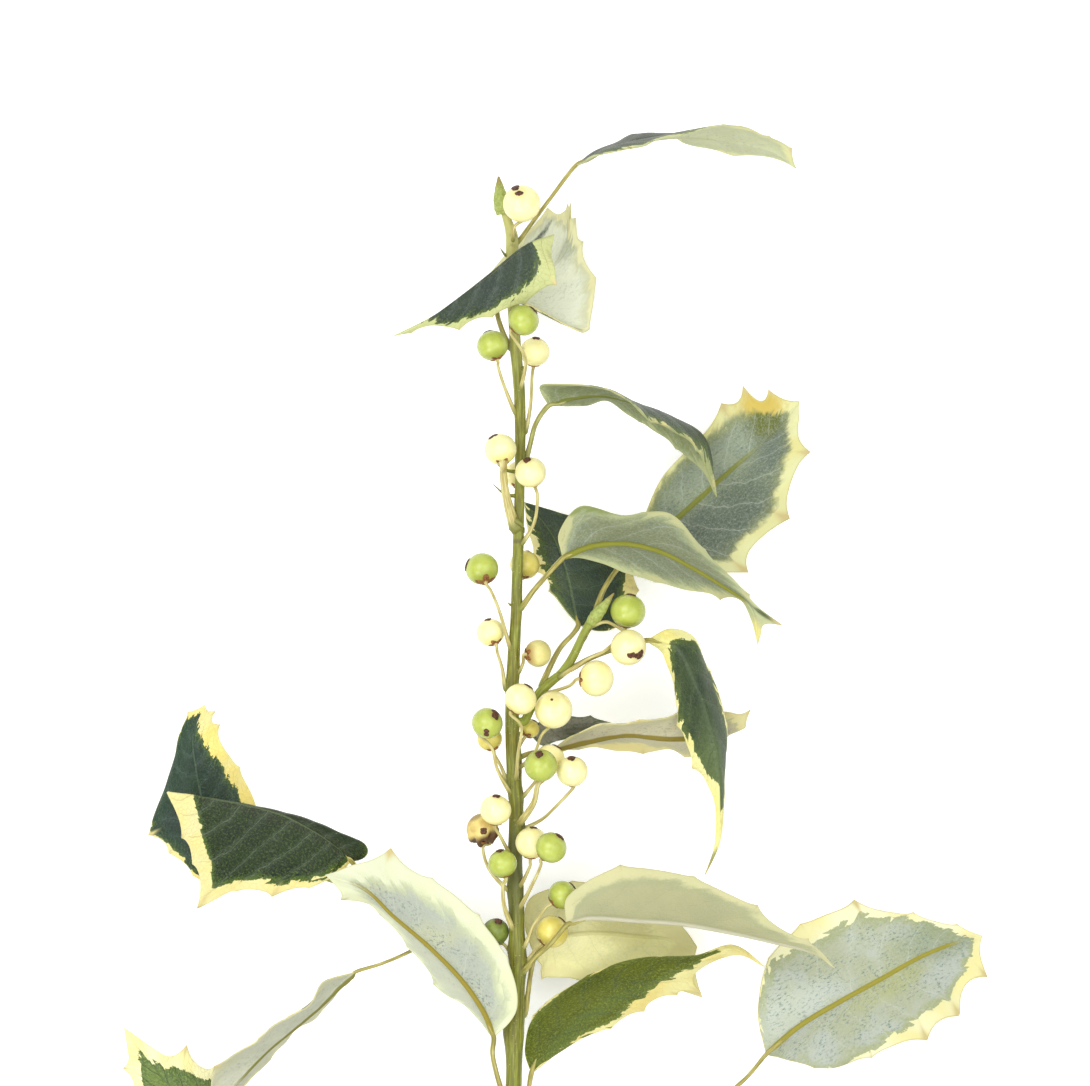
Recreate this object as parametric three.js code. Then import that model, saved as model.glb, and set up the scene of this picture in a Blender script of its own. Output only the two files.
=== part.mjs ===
// A cut sprig of variegated holly, lying on a flat surface, in millimetres.
// +Y runs from the cut end to the tip, +X to the right and +Z up from the surface at z = 0.
// One woody stem and four side twigs carry spiny leaves and stalked berries.
import * as THREE from "three";

const SEAT_GAP = 0.3; // clearance between a piece and the stem that carries it
const STEM_SIDES = 10;
const STALK_SIDES = 8;
const STEM_STEP = 7; // length of one stem segment
const END_SHARE = 0.995; // beyond this share of a stem a stalk sits on the stem's end
const BLADE_STEPS = 10; // even stations along a leaf blade, besides those at its spines
const BLADE_THICKNESS = 0.8;
const BLADE_START = 0.07; // first blade station, as a share of the blade
const BLADE_END = 0.96; // last blade station before the tip
const STATION_GAP = 0.025; // an even station this close to a spine is left out
const FOLD_SHARE = 0.16; // most of a fold's opening that each half blade's thickness may take
const RIDGE_SHARE = 0.4; // and that the midrib may take
const HALF_CUP = 0.05; // bulge of each half blade between midrib and margin, as a share of its width
const LEAF_STALK_RADIUS = 0.8;
const MIDRIB_DEPTH = 0.7; // how far the midrib stands out of the underside at the base
const BERRY_STALK_RADIUS = 0.45;
const CALYX_RADIUS = 1.0;
const BERRY_BANDS = 7; // rings of a berry between its calyx and its far end
const CALYX_SHARE = 0.4; // share of a band that the calyx takes
const BUD_FOOT = 0.5; // radius of a bud's foot and tip, as shares of its widest
const BUD_TIP = 0.25;
const BUD_STEPS = 8;
const SPINE_LEAN = 0.35; // how much a spine points towards the leaf tip

const COLOURS = {
  wood: 0x8a8c46,
  twig: 0x93994a,
  bud: 0xa5a05a,
  upperFace: 0x3d5240,
  underside: 0xb4bda6,
  cream: 0xf6f0b4,
  yellow: 0xe0d680,
  green: 0xb9cc60,
  wilted: 0xc9b27c,
};

// Stem axes: each point is x, y, z and the radius there.
const STEMS = {
  mainStem: [
    [-11, -159, 2.01, 2.15],
    [-10.6, -125, 8.5, 2.1],
    [-10.9, -96, 13.5, 2.1],
    [-10.5, -76, 16.6, 2.0],
    [-10.4, -67, 17.8, 2.5],
    [-9.8, -57, 19, 2.0],
    [-9.7, -42, 20.5, 1.9],
    [-10.2, -25, 22, 1.85],
    [-10, -10, 23, 1.7],
    [-10.9, 4, 23.6, 1.65],
    [-11, 18, 24, 1.6],
    [-10, 36, 24.6, 1.4],
    [-9.5, 54, 25, 1.3],
    [-9, 72, 25.2, 1.25],
    [-9, 90, 25.5, 1.4],
    [-10.2, 106, 26, 1.4],
    [-11, 124, 26, 1.5],
    [-11.2, 132, 26, 1.4],
    [-12.8, 137.5, 26, 0.9],
  ],
  rightTwig: [
    [-8, 10.4, 24.3, 1.15],
    [-6.8, 13, 24.6, 1.1],
    [-4.4, 17.6, 24.5, 1.1],
    [-1.4, 20.6, 24, 1.1],
    [1.6, 23.2, 23.5, 1.05],
    [4.2, 27, 23, 1.05],
    [6.6, 32, 22.4, 1.05],
    [9.6, 37.6, 22, 1.0],
  ],
  leftTwig: [
    [-13.3, -66, 16.8, 1.2],
    [-20, -54.5, 14, 1.15],
    [-30, -44.5, 12, 1.1],
    [-42, -35, 11, 1.0],
    [-55, -29, 9.5, 0.9],
    [-67, -26, 8, 0.8],
  ],
  rightLowerTwig: [
    [-7.3, -120, 10, 1.3],
    [4, -110.5, 12, 1.2],
    [19, -99.5, 13.5, 1.1],
    [33, -89.5, 14, 1.0],
  ],
  leftLowerTwig: [
    [-13.6, -135, 7, 1.3],
    [-28, -127, 8.5, 1.2],
    [-43, -119.5, 9.5, 1.1],
    [-56, -113.5, 10, 1.0],
  ],
};

// Leaves: seatY is where the leaf stalk leaves its stem. mid runs along the midrib from the base of
// the blade to its tip; left and right are the margins beside each inner point of mid, with the
// leaf seen on its upper face and its tip up. A spine is a place along the blade and a length.
const LEAVES = [
  {
    name: "leaf_top",
    face: "underside",
    stem: "mainStem",
    seatY: 130,
    stalk: [[-6.6, 134, 24.6], [-1.4, 141, 25]],
    mid: [[4.8, 149, 27], [13.5, 153.4, 26], [23.5, 155.5, 25], [33.5, 156.2, 24], [44.8, 154.8, 23],
      [54, 152.6, 22], [59.8, 148.5, 21]],
    left: [[13.5, 154.8, 16], [23.5, 156.3, 14], [33.5, 154.8, 13], [44.8, 151.6, 14], [53, 150.6, 18]],
    right: [[13.5, 152, 36], [23.5, 153.8, 37], [33.5, 157.8, 36], [44.8, 157.9, 32], [53.5, 154.6, 27]],
    leftSpines: [[0.4, 1], [0.57, 1], [0.75, 1.6]],
    rightSpines: [[0.3, 1], [0.46, 1], [0.62, 1], [0.78, 1]],
  },
  {
    name: "leaf_upper_left_front",
    face: "upperFace",
    stem: "mainStem",
    seatY: 117,
    stalk: [[-6.8, 121, 28.2], [-1.6, 129, 30.8]],
    mid: [[-4, 131.6, 33.4], [-9.4, 128, 35], [-16.5, 122.2, 34.2], [-24.5, 116, 31.5],
      [-32, 110.8, 28], [-40.8, 106.5, 25]],
    left: [[-1, 123.4, 33.4], [-6.7, 116, 32.4], [-15.5, 112.4, 31], [-25.5, 109.4, 28.5]],
    right: [[-7, 126.6, 32], [-13.5, 117.6, 30.4], [-22, 113.6, 28.2], [-30.8, 110.4, 26.6]],
    leftSpines: [[0.22, 1.4], [0.45, 0.8], [0.62, 0.8], [0.78, 2]],
    rightSpines: [[0.4, 1], [0.6, 1], [0.92, 2.4]],
  },
  {
    name: "leaf_upper_left_back",
    face: "underside",
    stem: "mainStem",
    seatY: 104,
    stalk: [[-13.2, 107.6, 24.6], [-14.5, 111.6, 23]],
    mid: [[-14.8, 115.3, 21], [-11.5, 117.4, 16.5], [-5, 119.8, 12.5], [0, 125, 9], [3, 132, 6.5],
      [2.9, 140, 5]],
    left: [[-6.8, 114.6, 18], [6.4, 108.4, 16], [9.8, 118.5, 13], [6.3, 128.5, 9]],
    right: [[-17.2, 121, 14.5], [-11.5, 128.2, 9], [-6.5, 133.5, 6], [-2.3, 137.6, 4.5]],
    leftSpines: [[0.38, 1.8], [0.46, 1.6], [0.8, 1.2], [0.92, 3]],
    rightSpines: [[0.4, 0.8], [0.6, 0.8], [0.86, 1.2]],
  },
  {
    name: "leaf_upper_right",
    face: "underside",
    stem: "mainStem",
    seatY: 75.4,
    stalk: [[-6.5, 79.6, 24.4], [-5, 85, 26.8]],
    mid: [[-2, 89.3, 29], [4.8, 91.3, 29], [12.3, 91.8, 28], [21, 89.6, 26], [29, 86.6, 24],
      [37.3, 81, 21.4], [40, 66.6, 18]],
    left: [[4.8, 89.4, 21], [12.3, 90.2, 18.4], [20.5, 86, 17.8], [28, 80.5, 17.4], [35.6, 74.2, 17]],
    right: [[-3.2, 94.4, 33], [12.3, 93.6, 37], [21, 87.4, 36], [28, 83.6, 33], [35.8, 77.6, 26]],
    leftSpines: [[0.5, 0.8], [0.7, 1]],
    rightSpines: [[0.35, 0.8], [0.56, 1], [0.8, 1.4]],
  },
  {
    name: "leaf_right_back",
    face: "underside",
    stem: "rightTwig",
    seatY: 37.6,
    stalk: [[11.8, 43.5, 19.5], [15.5, 49, 17]],
    mid: [[20.5, 53.8, 14.5], [27.3, 59, 13], [34.8, 65.5, 12], [42.3, 72.3, 11], [51, 79.8, 10],
      [56.5, 85.5, 9], [60.8, 90.8, 8]],
    left: [[37.3, 48, 9], [48, 53.5, 5], [56.6, 66, 1.85], [60.3, 78.5, 4], [60.4, 85, 6]],
    right: [[21.8, 61, 14], [25.5, 70, 14], [33, 78.8, 13], [44.8, 88.3, 11], [52.3, 90, 9.5]],
    leftSpines: [[0.3, 5], [0.47, 4], [0.66, 3], [0.84, 1.5]],
    rightSpines: [[0.3, 0.8], [0.44, 0.8], [0.59, 3.8], [0.7, 5], [0.86, 3]],
  },
  {
    name: "leaf_right_front",
    face: "underside",
    stem: "mainStem",
    seatY: 39,
    stalk: [[-5.6, 43.4, 27.6], [-1.6, 48, 29.6]],
    mid: [[1.5, 51.3, 31], [4.3, 52.7, 32], [9.3, 54.5, 33.4], [17.3, 55, 34], [26, 53, 33.5],
      [34.8, 48.5, 31.5], [43, 43.5, 29], [50, 39.8, 26], [57.8, 35.5, 23]],
    left: [[5.5, 51.6, 30.5], [11, 50.3, 28], [18.5, 47.8, 25], [28, 44.3, 24], [36, 43, 24.5],
      [43.4, 41.2, 26], [49.6, 38.8, 25.4]],
    right: [[1, 58, 29.5], [6, 64.6, 28], [16.5, 62.2, 27], [28, 62.4, 26.5], [36.8, 53.8, 26.5],
      [44.6, 45.6, 27.5], [50.6, 40.6, 26.4]],
    leftSpines: [[0.4, 0.6], [0.72, 1.8], [0.86, 9]],
    rightSpines: [[0.34, 0.6], [0.5, 0.6], [0.66, 0.8]],
  },
  {
    name: "leaf_mid_back",
    face: "upperFace",
    stem: "rightTwig",
    seatY: 19.5,
    stalk: [[0.6, 28.5, 20.5], [4, 32.4, 19.5]],
    mid: [[5.5, 34.6, 18.5], [4.2, 41, 15.5], [2.5, 48.5, 13], [-0.3, 56, 12], [-4, 61.5, 12],
      [-8, 65.5, 12]],
    left: [[0.8, 40.3, 15.5], [-2.2, 46, 12], [-4.6, 51.5, 10.5], [-7, 58.5, 11]],
    right: [[14, 33.8, 14], [19, 43.5, 10.5], [16, 54.8, 9], [3.5, 61.6, 11]],
    leftSpines: [[0.3, 1], [0.5, 1.2], [0.7, 1]],
    rightSpines: [[0.25, 1.2], [0.4, 2], [0.6, 1.5], [0.8, 1]],
  },
  {
    name: "leaf_hanging",
    face: "upperFace",
    stem: "rightTwig",
    seatY: 24.6,
    stalk: [[8.6, 26.6, 22.4], [15, 29, 22.4]],
    mid: [[22.3, 31, 25], [30, 29, 29], [34.8, 19.8, 29], [38.3, 9.8, 27.5], [40.3, -0.3, 25.5],
      [40.8, -9, 23.5], [40.5, -19, 21.5], [37, -27.6, 20]],
    left: [[33.6, 32.3, 25], [38.5, 23, 22.5], [42.3, 11.5, 20.5], [42.6, 1.8, 20.5],
      [42.4, -9, 21.5], [41.4, -18.5, 20.6]],
    right: [[27, 27.2, 26], [29, 19.8, 23.4], [31.3, 9.8, 22], [35, -0.3, 21.4],
      [39.3, -8.6, 22.5], [39.5, -19.5, 20.8]],
    leftSpines: [[0.36, 1], [0.52, 0.8]],
    rightSpines: [[0.42, 1.4], [0.57, 1.8]],
  },
  {
    name: "leaf_mid_right",
    face: "underside",
    stem: "mainStem",
    seatY: 1.5,
    stalk: [[-6, 3, 20.6]],
    mid: [[-1.5, 3.3, 18.5], [7.3, 5.5, 17.5], [17.3, 7.3, 17], [27.3, 6.3, 16], [36, 6.5, 14.5],
      [42.3, 7.8, 13.5], [47.3, 9.3, 12]],
    left: [[6.5, 4.3, 10], [16, 3.3, 7], [26, 3.8, 6], [34, 2.2, 6], [42, 6.4, 9]],
    right: [[6.5, 8.8, 23], [16, 10.3, 24], [27.3, 12, 20], [36, 13.3, 16], [42.8, 12.8, 14]],
    leftSpines: [[0.25, 0.6], [0.42, 2], [0.62, 1.4], [0.8, 1]],
    rightSpines: [[0.4, 0.8], [0.56, 0.8], [0.7, 1], [0.86, 3.4]],
  },
  {
    name: "leaf_behind_berries",
    face: "upperFace",
    stem: "mainStem",
    seatY: 6,
    stalk: [[-9.6, 7.4, 18.6]],
    mid: [[-7, 8, 16], [-2, 8.8, 14.2], [4, 9.8, 13], [9.5, 10, 12], [15.3, 10, 11.5]],
    left: [[-1.8, 12.4, 14], [4, 12, 12], [9.5, 11.5, 11.4]],
    right: [[-3, 4.8, 12], [4, 7.2, 11], [9.5, 8.5, 10.8]],
    leftSpines: [[0.4, 0.6], [0.7, 0.6]],
    rightSpines: [[0.5, 0.6]],
  },
  {
    name: "leaf_lower_right_front",
    face: "underside",
    stem: "mainStem",
    seatY: -51.5,
    stalk: [[-5.2, -47.9, 23.8], [-1.4, -44.4, 26]],
    mid: [[2.5, -39.8, 28], [8.5, -38, 31], [19.8, -38.7, 33], [31, -39.5, 33.5], [42.3, -41.5, 32],
      [53.5, -44, 29], [63.5, -46.6, 26.5], [69.5, -50.5, 24]],
    left: [[8.7, -37.4, 23], [19.8, -38, 22], [31, -38.8, 22], [42.3, -41, 21.5], [53.5, -43.6, 22],
      [63.2, -46.4, 23.6]],
    right: [[3.2, -32, 28.6], [15.5, -25.8, 28], [31, -27, 28], [44.8, -33, 28], [56.8, -41, 27.5],
      [64.6, -45.2, 26]],
    leftSpines: [[0.4, 0.8], [0.6, 0.8]],
    rightSpines: [[0.29, 0.9], [0.46, 0.5], [0.62, 1], [0.8, 0.8]],
  },
  {
    name: "leaf_lower_right_back",
    face: "underside",
    stem: "mainStem",
    seatY: -62,
    stalk: [[-7, -57, 18.2], [-6.4, -52.4, 17.4]],
    mid: [[-5.4, -47.8, 16.2], [-1.6, -44, 14.2], [2.6, -42.6, 13.2], [11, -42, 12],
      [19.8, -42.8, 11], [27.3, -43.5, 10], [35.3, -45.5, 9]],
    left: [[-4, -49.8, 13.6], [-2.6, -52.6, 12.4], [6.8, -53, 10.4], [18.5, -51.5, 9.4],
      [29, -48.2, 8.6]],
    right: [[-7.8, -40, 13.6], [-5.6, -32.6, 12.6], [8.5, -29.5, 9.6], [21, -32.8, 8.6],
      [30.5, -39.4, 8.4]],
    leftSpines: [[0.31, 1.6], [0.5, 1], [0.7, 1.4]],
    rightSpines: [[0.45, 0.8], [0.6, 0.8], [0.8, 1.2]],
  },
  {
    name: "leaf_lower_right_dark",
    face: "upperFace",
    stem: "mainStem",
    seatY: -91,
    stalk: [[-6.4, -84.6, 15.8], [-5.4, -79.6, 17]],
    mid: [[-5, -76, 18.4], [-2, -69, 20.4], [4.8, -62, 22.4], [14, -56, 23.6], [23.5, -52, 23.6],
      [33.5, -49.2, 22.4], [44.6, -46, 20], [52, -50.3, 17]],
    left: [[-6.4, -66.5, 18.4], [-1.5, -58.5, 18.6], [9, -51.6, 19], [22.3, -48.1, 19.6],
      [34.6, -47.4, 20], [43.9, -44.8, 19.6]],
    right: [[0.2, -72.2, 18.4], [8, -67.4, 17.6], [18, -62.6, 17.6], [27.3, -56.4, 18],
      [35, -51.4, 18.6], [44.8, -47.3, 18.4]],
    leftSpines: [[0.3, 0.6], [0.5, 0.6]],
    rightSpines: [[0.36, 0.8], [0.47, 1.6], [0.58, 2.2], [0.64, 6]],
  },
  {
    name: "leaf_far_right",
    face: "underside",
    stem: "rightLowerTwig",
    seatY: -89.5,
    stalk: [[46.2, -79.2, 14.6]],
    mid: [[52.3, -72.3, 14.6], [61, -65, 14.6], [71, -59, 14.2], [81, -53.5, 13], [91, -48, 11],
      [99.8, -44.5, 9], [106.5, -42.8, 7]],
    left: [[58.5, -74, 10], [69.8, -75.6, 6.5], [83.5, -70.6, 4], [95.5, -63.5, 2.33], [103.6, -52.4, 3]],
    right: [[50.3, -60.3, 11], [54.8, -46.2, 8.6], [68.5, -37, 7], [83.5, -36.8, 6], [96, -39.5, 6]],
    leftSpines: [[0.26, 0.6], [0.44, 1], [0.6, 3], [0.72, 4], [0.87, 4]],
    rightSpines: [[0.33, 1], [0.42, 1.5], [0.55, 1.8], [0.71, 1.5], [0.86, 1]],
  },
  {
    name: "leaf_lower_left_front",
    face: "underside",
    stem: "mainStem",
    seatY: -85,
    stalk: [[-14.6, -77.6, 20.4], [-15.8, -72, 22.4]],
    mid: [[-15.5, -68, 24], [-18, -61.5, 26.4], [-23.5, -53.5, 28], [-31.5, -45.3, 28],
      [-40.3, -37.8, 27], [-47.8, -30.8, 25], [-57.5, -27.3, 22]],
    left: [[-9.6, -60.5, 25.6], [-12.2, -48.3, 25.6], [-19.5, -37.8, 25], [-31.5, -28.3, 23.4],
      [-45.3, -24.3, 22.4]],
    right: [[-21, -61.8, 19.6], [-28.3, -55.8, 18.4], [-35.8, -46.6, 18.2], [-43.3, -37, 19],
      [-51.4, -33, 21]],
    leftSpines: [[0.34, 0.5], [0.5, 0.8], [0.66, 0.6], [0.79, 3.4]],
    rightSpines: [[0.36, 1.2], [0.52, 0.8], [0.66, 1], [0.83, 2.4]],
  },
  {
    name: "leaf_far_left_front",
    face: "upperFace",
    stem: "leftTwig",
    seatY: -33.5,
    stalk: [[-48, -28, 14.4]],
    mid: [[-51, -24, 17], [-54.3, -20.7, 18.4], [-60.5, -16.3, 20.4], [-68.5, -12.3, 22],
      [-78, -9.8, 22], [-88, -8, 20.4], [-97, -6.8, 17]],
    left: [[-54, -27, 17], [-60.5, -30, 16.4], [-69, -30.8, 15], [-79, -31, 12.6], [-89, -32.3, 9.6]],
    right: [[-47.2, -20.8, 16.4], [-55, -16.8, 17], [-65, -14.3, 15], [-76.5, -12.8, 14],
      [-86.5, -10.5, 13.6]],
    leftSpines: [[0.33, 0.8], [0.48, 3], [0.64, 0.8], [0.82, 4.4]],
    rightSpines: [[0.5, 1], [0.7, 1]],
  },
  {
    name: "leaf_far_left_upright",
    face: "upperFace",
    stem: "leftTwig",
    seatY: -26,
    stalk: [[-73.5, -26, 7.4]],
    mid: [[-79, -25.4, 6.6], [-83.5, -19, 6.4], [-87.8, -10.3, 7], [-90, -0.3, 9], [-90.5, 7.3, 12],
      [-87.5, 15, 15]],
    left: [[-92.6, -19.6, 3], [-99, -10.6, 1.59], [-96, -0.3, 5.6], [-92.6, 9, 10.4]],
    right: [[-74, -19, 4.6], [-75.5, -9.5, 5.4], [-80, -0.3, 7.4], [-85.4, 9.6, 12]],
    leftSpines: [[0.34, 4], [0.55, 0.8], [0.9, 1.4]],
    rightSpines: [[0.5, 1], [0.76, 2.6], [0.88, 2.2]],
  },
  {
    name: "leaf_low_left_narrow",
    face: "underside",
    stem: "leftTwig",
    seatY: -43,
    stalk: [[-36.4, -46.6, 12.6], [-43.4, -49.6, 13.4]],
    mid: [[-49.8, -51.6, 14], [-54, -55.3, 14], [-59, -60.3, 13.4], [-65.3, -65.8, 12.4],
      [-72, -71.5, 11.8], [-79, -79, 11], [-85.3, -86.5, 9.6]],
    left: [[-57.6, -54.3, 20], [-63.2, -61, 21.6], [-70.2, -65, 21.6], [-77.6, -70.8, 19.6],
      [-85.6, -77.8, 14]],
    right: [[-53.6, -56.4, 7.6], [-58.6, -61.6, 5.4], [-64.6, -66.6, 4.4], [-70.4, -72, 5.4],
      [-76, -79, 7.4]],
    leftSpines: [[0.4, 0.8], [0.58, 0.8], [0.77, 1.8]],
    rightSpines: [[0.3, 0.8], [0.5, 0.8], [0.7, 1]],
  },
  {
    name: "leaf_low_left_edge",
    face: "upperFace",
    stem: "leftLowerTwig",
    seatY: -113.5,
    stalk: [[-61, -111, 10]],
    mid: [[-66, -108, 9], [-74, -101, 7], [-83, -93, 5], [-92, -85, 4], [-100, -76.5, 3],
      [-108, -65.8, 2.2]],
    left: [[-87.8, -104, 3], [-97.8, -96.5, 0.68], [-104, -87.8, 1], [-106, -77.4, 1.2]],
    right: [[-73, -90.6, 4.6], [-79.4, -81.6, 2.8], [-87.8, -76.2, 2], [-97.8, -72.8, 2]],
    leftSpines: [[0.3, 1.6], [0.46, 2], [0.62, 2], [0.82, 1.6]],
    rightSpines: [[0.4, 2], [0.55, 1.4], [0.71, 3.4]],
  },
];

// Berries: seatY is where the berry stalk leaves its stem, via holds the points that it passes.
const BERRIES = [
  {
    seatY: 130.6, via: [[-10.4, 133.8, 29.8]],
    at: [-8.5, 139.5, 32.4], radius: 4.7, ripe: "cream",
  },
  {
    seatY: 94, via: [[-7.6, 101, 32]],
    at: [-8.1, 110.5, 36], radius: 3.9, ripe: "green",
  },
  {
    seatY: 88, via: [[-13, 94.5, 27.4], [-14.4, 99, 28.4]],
    at: [-15.8, 104.3, 29.4], radius: 3.9, ripe: "green",
  },
  {
    seatY: 83, via: [[-6.3, 90, 24.6], [-6, 96.4, 23.4]],
    at: [-5.3, 102.8, 22.8], radius: 3.75, ripe: "cream",
  },
  {
    seatY: 60, via: [[-12.5, 67.5, 27.6], [-13.1, 72.6, 28.8]],
    at: [-13.8, 78.5, 30], radius: 4, ripe: "cream",
  },
  {
    seatY: 55.5, via: [[-5.4, 60.4, 27.4], [-4.6, 66.6, 28.6]],
    at: [-6.3, 72.8, 29.8], radius: 3.9, ripe: "cream",
  },
  {
    seatY: 29.5, via: [[-14, 38, 29], [-16, 43, 28]],
    at: [-18.4, 48.8, 27.4], radius: 4.1, ripe: "green",
  },
  {
    seatY: 42, via: [[-9, 45, 20.6]],
    at: [-7.8, 49.8, 18.4], radius: 3.7, ripe: "yellow",
  },
  {
    seatY: 19, via: [[-13.4, 24, 24.6], [-14.6, 28, 24.4]],
    at: [-16.3, 33, 24.2], radius: 3.5, ripe: "cream",
  },
  {
    seatY: 23, via: [[-8.2, 25.4, 25.6]],
    at: [-4.5, 27.8, 26], radius: 3.4, ripe: "cream",
  },
  {
    stem: "rightTwig", seatY: 35, via: [[12.6, 35.6, 24.4]],
    at: [17.9, 38.3, 23.4], radius: 4.4, ripe: "green",
  },
  {
    stem: "rightTwig", seatY: 22.4, via: [[7.6, 26.2, 26.6], [12, 28.4, 27.8]],
    at: [18, 29.3, 29], radius: 4.5, ripe: "cream",
  },
  {
    stem: "rightTwig", seatY: 18.4, via: [[3, 19.6, 26.4]],
    at: [10, 21.6, 28], radius: 4.5, ripe: "cream",
  },
  {
    seatY: -3.5, via: [[-9.4, 3, 28.4], [-8.6, 9.6, 30.4]],
    at: [-8.8, 16.5, 32.6], radius: 4, ripe: "cream",
  },
  {
    seatY: -1, via: [[-5.4, 3, 27], [-3.5, 7.6, 27.6]],
    at: [-0.6, 13.8, 28.6], radius: 4.7, ripe: "cream",
  },
  {
    seatY: -6.5, via: [[-14.6, -1, 27.4], [-16, 4.4, 28.6]],
    at: [-17.1, 10.5, 30], radius: 3.9, ripe: "green",
  },
  {
    seatY: -4, via: [[-13.6, -0.6, 22.8], [-15.2, 2.4, 22.4]],
    at: [-16.5, 6.5, 22], radius: 3.1, ripe: "yellow",
  },
  {
    seatY: 3.5, via: [[-8.6, 5.6, 20.6]],
    at: [-6.4, 9, 19.6], radius: 2.3, ripe: "yellow",
  },
  {
    seatY: -14, via: [[-5.6, -9.4, 29], [-4.6, -5, 31.4]],
    at: [-3.8, 0, 34], radius: 4.1, ripe: "green",
  },
  {
    seatY: -8, via: [[-6.2, -5.4, 24.2], [-4, -2.6, 24]],
    at: [-1.5, 1.5, 24.2], radius: 3.75, ripe: "cream",
  },
  {
    seatY: -15.6, via: [[-3.4, -13.4, 23], [0.6, -9.6, 26]],
    at: [4, -1.5, 29.6], radius: 3.9, ripe: "cream",
  },
  {
    seatY: -22, via: [[-14, -17.4, 27.4]],
    at: [-15, -11.1, 30], radius: 3.9, ripe: "cream",
  },
  {
    seatY: -31, via: [[-16.6, -26, 22.6], [-18.2, -20.6, 22.8]],
    at: [-18.5, -15.3, 23], radius: 3.7, ripe: "wilted",
  },
  {
    seatY: -30, via: [[-6.6, -25.4, 27]],
    at: [-6, -19.3, 28.4], radius: 4.1, ripe: "cream",
  },
  {
    seatY: -35, via: [[-5.6, -29, 29.4], [-3.8, -24.8, 32.6]],
    at: [-1.2, -20.3, 35.6], radius: 3.9, ripe: "green",
  },
  {
    seatY: -40.5, via: [[-12.9, -35, 25.8], [-13.2, -30, 27.6]],
    at: [-13.3, -24.4, 29.4], radius: 3.6, ripe: "green",
  },
  {
    seatY: -45, via: [[-5.6, -40, 23], [-2.6, -35.6, 22.8]],
    at: [1.6, -32.3, 22.6], radius: 3.6, ripe: "green",
  },
  {
    seatY: -49, via: [[-5.4, -46.4, 20.6]],
    at: [-1, -41.5, 20.4], radius: 4.1, ripe: "yellow",
  },
  {
    seatY: -46, via: [[-13.2, -44.6, 19.6]],
    at: [-15, -41.4, 19.4], radius: 3, ripe: "green",
  },
  {
    seatY: 65, via: [[-10, 67, 20.6]],
    at: [-11.5, 72.3, 18.6], radius: 3.5, ripe: "cream",
  },
];

// Buds: seatY and via as for berries, and the widest radius.
const BUDS = [
  {
    name: "tip_bud", stem: "mainStem", seatY: 137.5,
    via: [[-13.8, 141.6, 26], [-14.3, 146.4, 26]], radius: 1.5,
  },
  {
    name: "axillary_bud", stem: "rightTwig", seatY: 36.4,
    via: [[12.8, 40.6, 24.4], [14.8, 44, 25]], radius: 1.2,
  },
];

const toVector = ([x, y, z]) => new THREE.Vector3(x, y, z);
const smoothCurve = (points) => new THREE.CatmullRomCurve3(points, false, "catmullrom", 0.5);

function finish(color) {
  return new THREE.MeshStandardMaterial({ color, roughness: 0.5, metalness: 0, side: THREE.DoubleSide });
}

// A closed solid through rings of the same number of points. Each end closes on a point of its own.
// The second half of a ring is split the other way, so that both faces of a thin blade bend alike.
function loft(rings, startPoint, endPoint) {
  const around = rings[0].length;
  const points = [...rings.flat(), startPoint, endPoint];
  const startIndex = points.length - 2;
  const endIndex = points.length - 1;
  const faces = [];
  for (let k = 0; k < around; k++) {
    const next = (k + 1) % around;
    faces.push(startIndex, next, k);
    const last = (rings.length - 1) * around;
    faces.push(endIndex, last + k, last + next);
  }
  for (let ring = 0; ring < rings.length - 1; ring++) {
    for (let k = 0; k < around; k++) {
      const next = (k + 1) % around;
      const low = ring * around;
      const high = low + around;
      const mirrored = 2 * k >= around;
      faces.push(low + k, low + next, mirrored ? high + k : high + next);
      faces.push(mirrored ? low + next : low + k, high + next, high + k);
    }
  }
  const geometry = new THREE.BufferGeometry();
  const numbers = points.flatMap((point) => point.toArray());
  geometry.setAttribute("position", new THREE.Float32BufferAttribute(numbers, 3));
  geometry.setIndex(faces);
  geometry.computeVertexNormals();
  return geometry;
}

function ringAround(centre, across, up, radius, sides) {
  const ring = [];
  for (let k = 0; k < sides; k++) {
    const angle = (2 * Math.PI * k) / sides;
    ring.push(
      centre
        .clone()
        .addScaledVector(across, radius * Math.cos(angle))
        .addScaledVector(up, radius * Math.sin(angle)),
    );
  }
  return ring;
}

// A round bar along a curve, whose radius is a function of the share of the length.
function bar(curve, radiusAt, steps, sides) {
  const frames = curve.computeFrenetFrames(steps, false);
  const rings = [];
  for (let i = 0; i <= steps; i++) {
    const centre = curve.getPointAt(i / steps);
    rings.push(ringAround(centre, frames.normals[i], frames.binormals[i], radiusAt(i / steps), sides));
  }
  return loft(rings, curve.getPointAt(0), curve.getPointAt(1));
}

// A stem as a curve with its radius read between the radii of its points.
function makeStem(points) {
  const curve = smoothCurve(points.map(toVector));
  const last = points.length - 1;
  const radiusAt = (share) => {
    const place = curve.getUtoTmapping(share, null) * last;
    const index = Math.min(Math.floor(place), last - 1);
    return THREE.MathUtils.lerp(points[index][3], points[index + 1][3], place - index);
  };
  return { curve, radiusAt };
}

const stems = Object.fromEntries(
  Object.entries(STEMS).map(([name, points]) => [name, makeStem(points)]),
);

// The point on a stem's axis at height y along the sprig, by halving.
function onStem(stem, y) {
  const falls = stem.curve.getPointAt(1).y < stem.curve.getPointAt(0).y;
  let low = 0;
  let high = 1;
  for (let i = 0; i < 30; i++) {
    const middle = (low + high) / 2;
    const below = stem.curve.getPointAt(middle).y < y;
    if (below !== falls) low = middle;
    else high = middle;
  }
  return {
    axis: stem.curve.getPointAt(low),
    tangent: stem.curve.getTangentAt(low),
    radius: stem.radiusAt(low),
    atEnd: low > END_SHARE,
  };
}

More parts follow.
